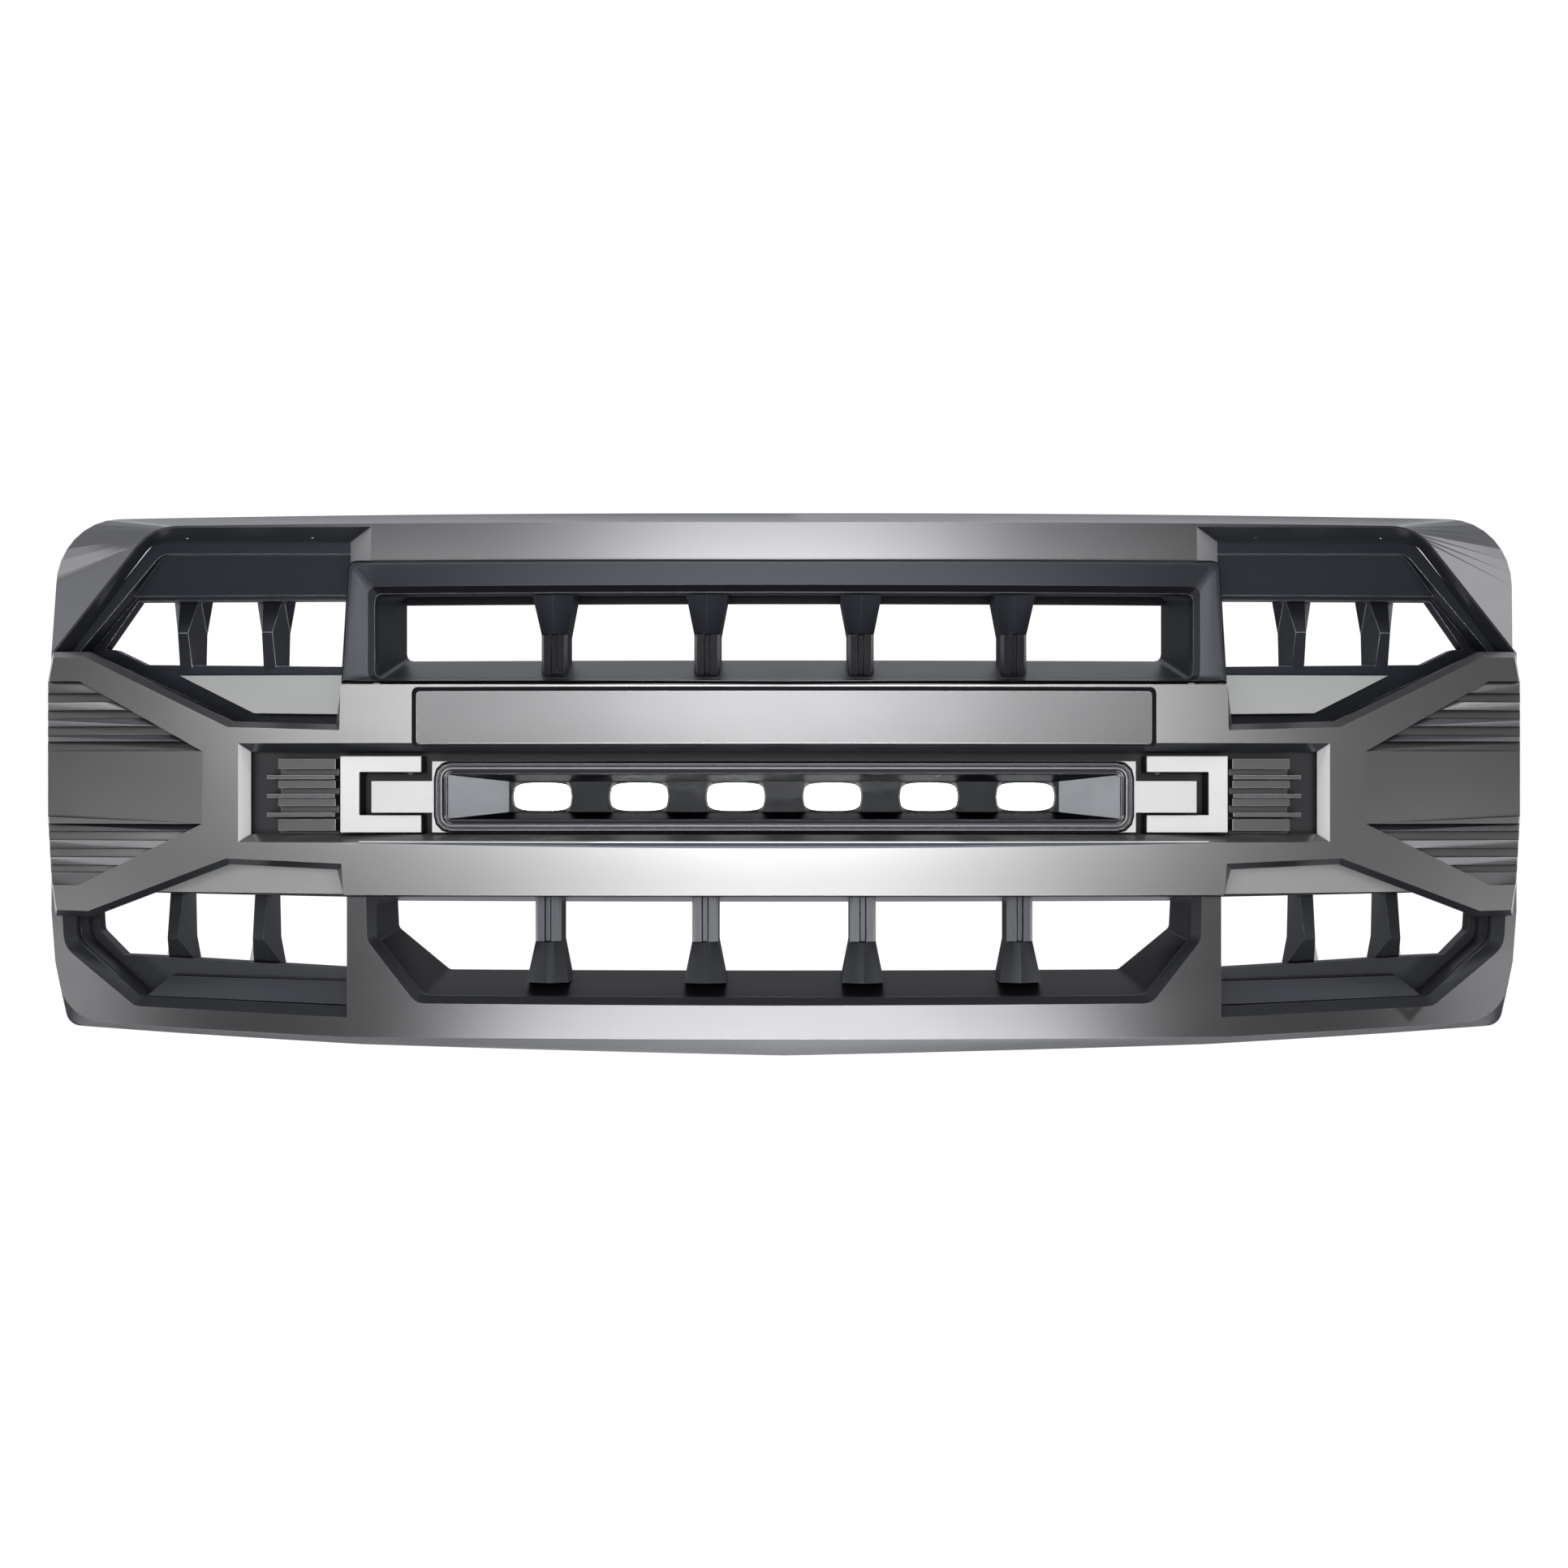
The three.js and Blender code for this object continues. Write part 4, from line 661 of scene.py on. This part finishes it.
def area_light(name, size_x, size_y, power, place, target, shape="ELLIPSE"):
    data = bpy.data.lights.new(name, "AREA")
    data.shape = shape
    data.size = size_x
    data.size_y = size_y
    data.energy = power
    lamp = bpy.data.objects.new(name, data)
    bpy.context.scene.collection.objects.link(lamp)
    lamp.location = place
    lamp.rotation_euler = (Vector(target) - Vector(place)).to_track_quat("-Z", "Y").to_euler()
    return lamp


def ramp(tree, value, low, high, out_low, out_high):
    node = tree.nodes.new("ShaderNodeMapRange")
    node.interpolation_type = "SMOOTHSTEP"
    node.inputs["From Min"].default_value = low
    node.inputs["From Max"].default_value = high
    node.inputs["To Min"].default_value = out_low
    node.inputs["To Max"].default_value = out_high
    tree.links.new(value, node.inputs["Value"])
    return node.outputs[0]


def room():
    """Soft light from above, below and both sides and little from behind; the camera sees plain white."""
    world = bpy.data.worlds.new("studio")
    bpy.context.scene.world = world
    world.use_nodes = True
    tree = world.node_tree
    tree.nodes.clear()
    direction = tree.nodes.new("ShaderNodeTexCoord").outputs["Generated"]
    split = tree.nodes.new("ShaderNodeSeparateXYZ")
    tree.links.new(direction, split.inputs[0])
    behind = ramp(tree, split.outputs["Y"], -0.15, 0.45, 0.0, 0.08)
    above = ramp(tree, split.outputs["Z"], 0.20, 0.60, 0.03, 1.1)
    below = ramp(tree, split.outputs["Z"], -0.20, -0.60, 0.0, 0.8)
    sideways = tree.nodes.new("ShaderNodeMath")
    sideways.operation = "ABSOLUTE"
    tree.links.new(split.outputs["X"], sideways.inputs[0])
    beside = ramp(tree, sideways.outputs[0], 0.62, 0.85, 0.0, 1.6)
    not_ahead = ramp(tree, split.outputs["Y"], -0.10, 0.25, 0.0, 1.0)
    flank = tree.nodes.new("ShaderNodeMath")
    flank.operation = "MULTIPLY"
    tree.links.new(beside, flank.inputs[0])
    tree.links.new(not_ahead, flank.inputs[1])
    most = None
    for part in (behind, above, below, flank.outputs[0]):
        if most is None:
            most = part
            continue
        larger = tree.nodes.new("ShaderNodeMath")
        larger.operation = "MAXIMUM"
        tree.links.new(most, larger.inputs[0])
        tree.links.new(part, larger.inputs[1])
        most = larger.outputs[0]
    dim = tree.nodes.new("ShaderNodeBackground")
    dim.inputs["Color"].default_value = (0.90, 0.93, 1.0, 1)
    tree.links.new(most, dim.inputs["Strength"])
    white = tree.nodes.new("ShaderNodeBackground")
    white.inputs["Color"].default_value = (1, 1, 1, 1)
    white.inputs["Strength"].default_value = WHITE
    path = tree.nodes.new("ShaderNodeLightPath")
    mix = tree.nodes.new("ShaderNodeMixShader")
    out = tree.nodes.new("ShaderNodeOutputWorld")
    tree.links.new(path.outputs["Is Camera Ray"], mix.inputs[0])
    tree.links.new(dim.outputs[0], mix.inputs[1])
    tree.links.new(white.outputs[0], mix.inputs[2])
    tree.links.new(mix.outputs[0], out.inputs["Surface"])


def studio():
    """Softboxes in front for the bright middle, at the sides for the skirts and behind for the back."""
    area_light("wide_softbox", 2.65, 0.26, 30, (-0.12, -1.85, MIDDLE.z + 0.14), MIDDLE)
    area_light("core_softbox", 0.9, 0.45, 12, (0, -1.85, MIDDLE.z + 0.20), MIDDLE)
    area_light("upper_softbox", 1.1, 0.5, 4, (0, -1.85, MIDDLE.z + 0.45), MIDDLE)
    area_light("lower_softbox", 1.6, 0.6, 40, (0, -1.85, MIDDLE.z - 0.50), MIDDLE)
    area_light("overhead_strip", 3.0, 0.25, 28, (0, -0.75, 1.25), MIDDLE, "RECTANGLE")
    area_light("underneath_softbox", 2.4, 0.9, 12, (0, -0.9, -1.5), MIDDLE, "RECTANGLE")
    area_light("rear_upper_softbox", 2.4, 0.6, 8, (0, 1.2, MIDDLE.z + 1.5), MIDDLE, "RECTANGLE")
    area_light("rear_lower_softbox", 2.4, 0.6, 25, (0, 1.2, MIDDLE.z - 1.5), MIDDLE, "RECTANGLE")
    for side in (-1, 1):
        area_light("rear_side_softbox", 0.6, 1.2, 14, (side * 2.1, 1.3, MIDDLE.z), MIDDLE, "RECTANGLE")
        area_light("side_panel", 0.6, 1.3, 14, (side * 1.95, -0.30, MIDDLE.z + 0.20), MIDDLE, "RECTANGLE")
        area_light("low_side_softbox", 0.4, 0.4, 3, (side * 1.90, -1.80, MIDDLE.z - 0.35), MIDDLE)
        area_light("upper_corner_softbox", 0.9, 0.9, 11, (side * 2.0, -0.9, MIDDLE.z + 1.1), MIDDLE)
        area_light("lower_corner_softbox", 0.9, 0.9, 11, (side * 2.0, -0.9, MIDDLE.z - 1.1), MIDDLE)


def floor():
    """A plain pale floor well under the part."""
    bm = bmesh.new()
    bmesh.ops.create_grid(bm, x_segments=1, y_segments=1, size=6)
    mesh = bpy.data.meshes.new("floor")
    bm.to_mesh(mesh)
    bm.free()
    obj = bpy.data.objects.new("floor", mesh)
    bpy.context.scene.collection.objects.link(obj)
    obj.location.z = cad_low.z - FLOOR_DROP
    s = Shader("pale_floor")
    tone = s.mix(s.noise(0.4, detail=2), (0.90, 0.90, 0.90), (0.94, 0.94, 0.94))
    seen = s.add("ShaderNodeEmission", {"Color": (1, 1, 1, 1), "Strength": WHITE}).outputs[0]
    lit = s.add("ShaderNodeBsdfDiffuse", {"Color": tone, "Roughness": 0.5}).outputs[0]
    direct = s.add("ShaderNodeLightPath").outputs["Is Camera Ray"]
    s.finish(s.add("ShaderNodeMixShader", {0: direct, 1: lit, 2: seen}).outputs[0])
    mesh.materials.append(s.material)
    obj.visible_glossy = False
    obj.visible_diffuse = False


def camera():
    data = bpy.data.cameras.new("camera")
    data.lens = LENS
    data.sensor_width = SENSOR_WIDTH
    data.clip_end = 30
    obj = bpy.data.objects.new("camera", data)
    bpy.context.scene.collection.objects.link(obj)
    obj.location = CAMERA_PLACE
    obj.rotation_euler = (math.radians(90), 0, 0)
    bpy.context.scene.camera = obj


room()
studio()
floor()
camera()
bpy.context.scene.view_settings.view_transform = "Standard"
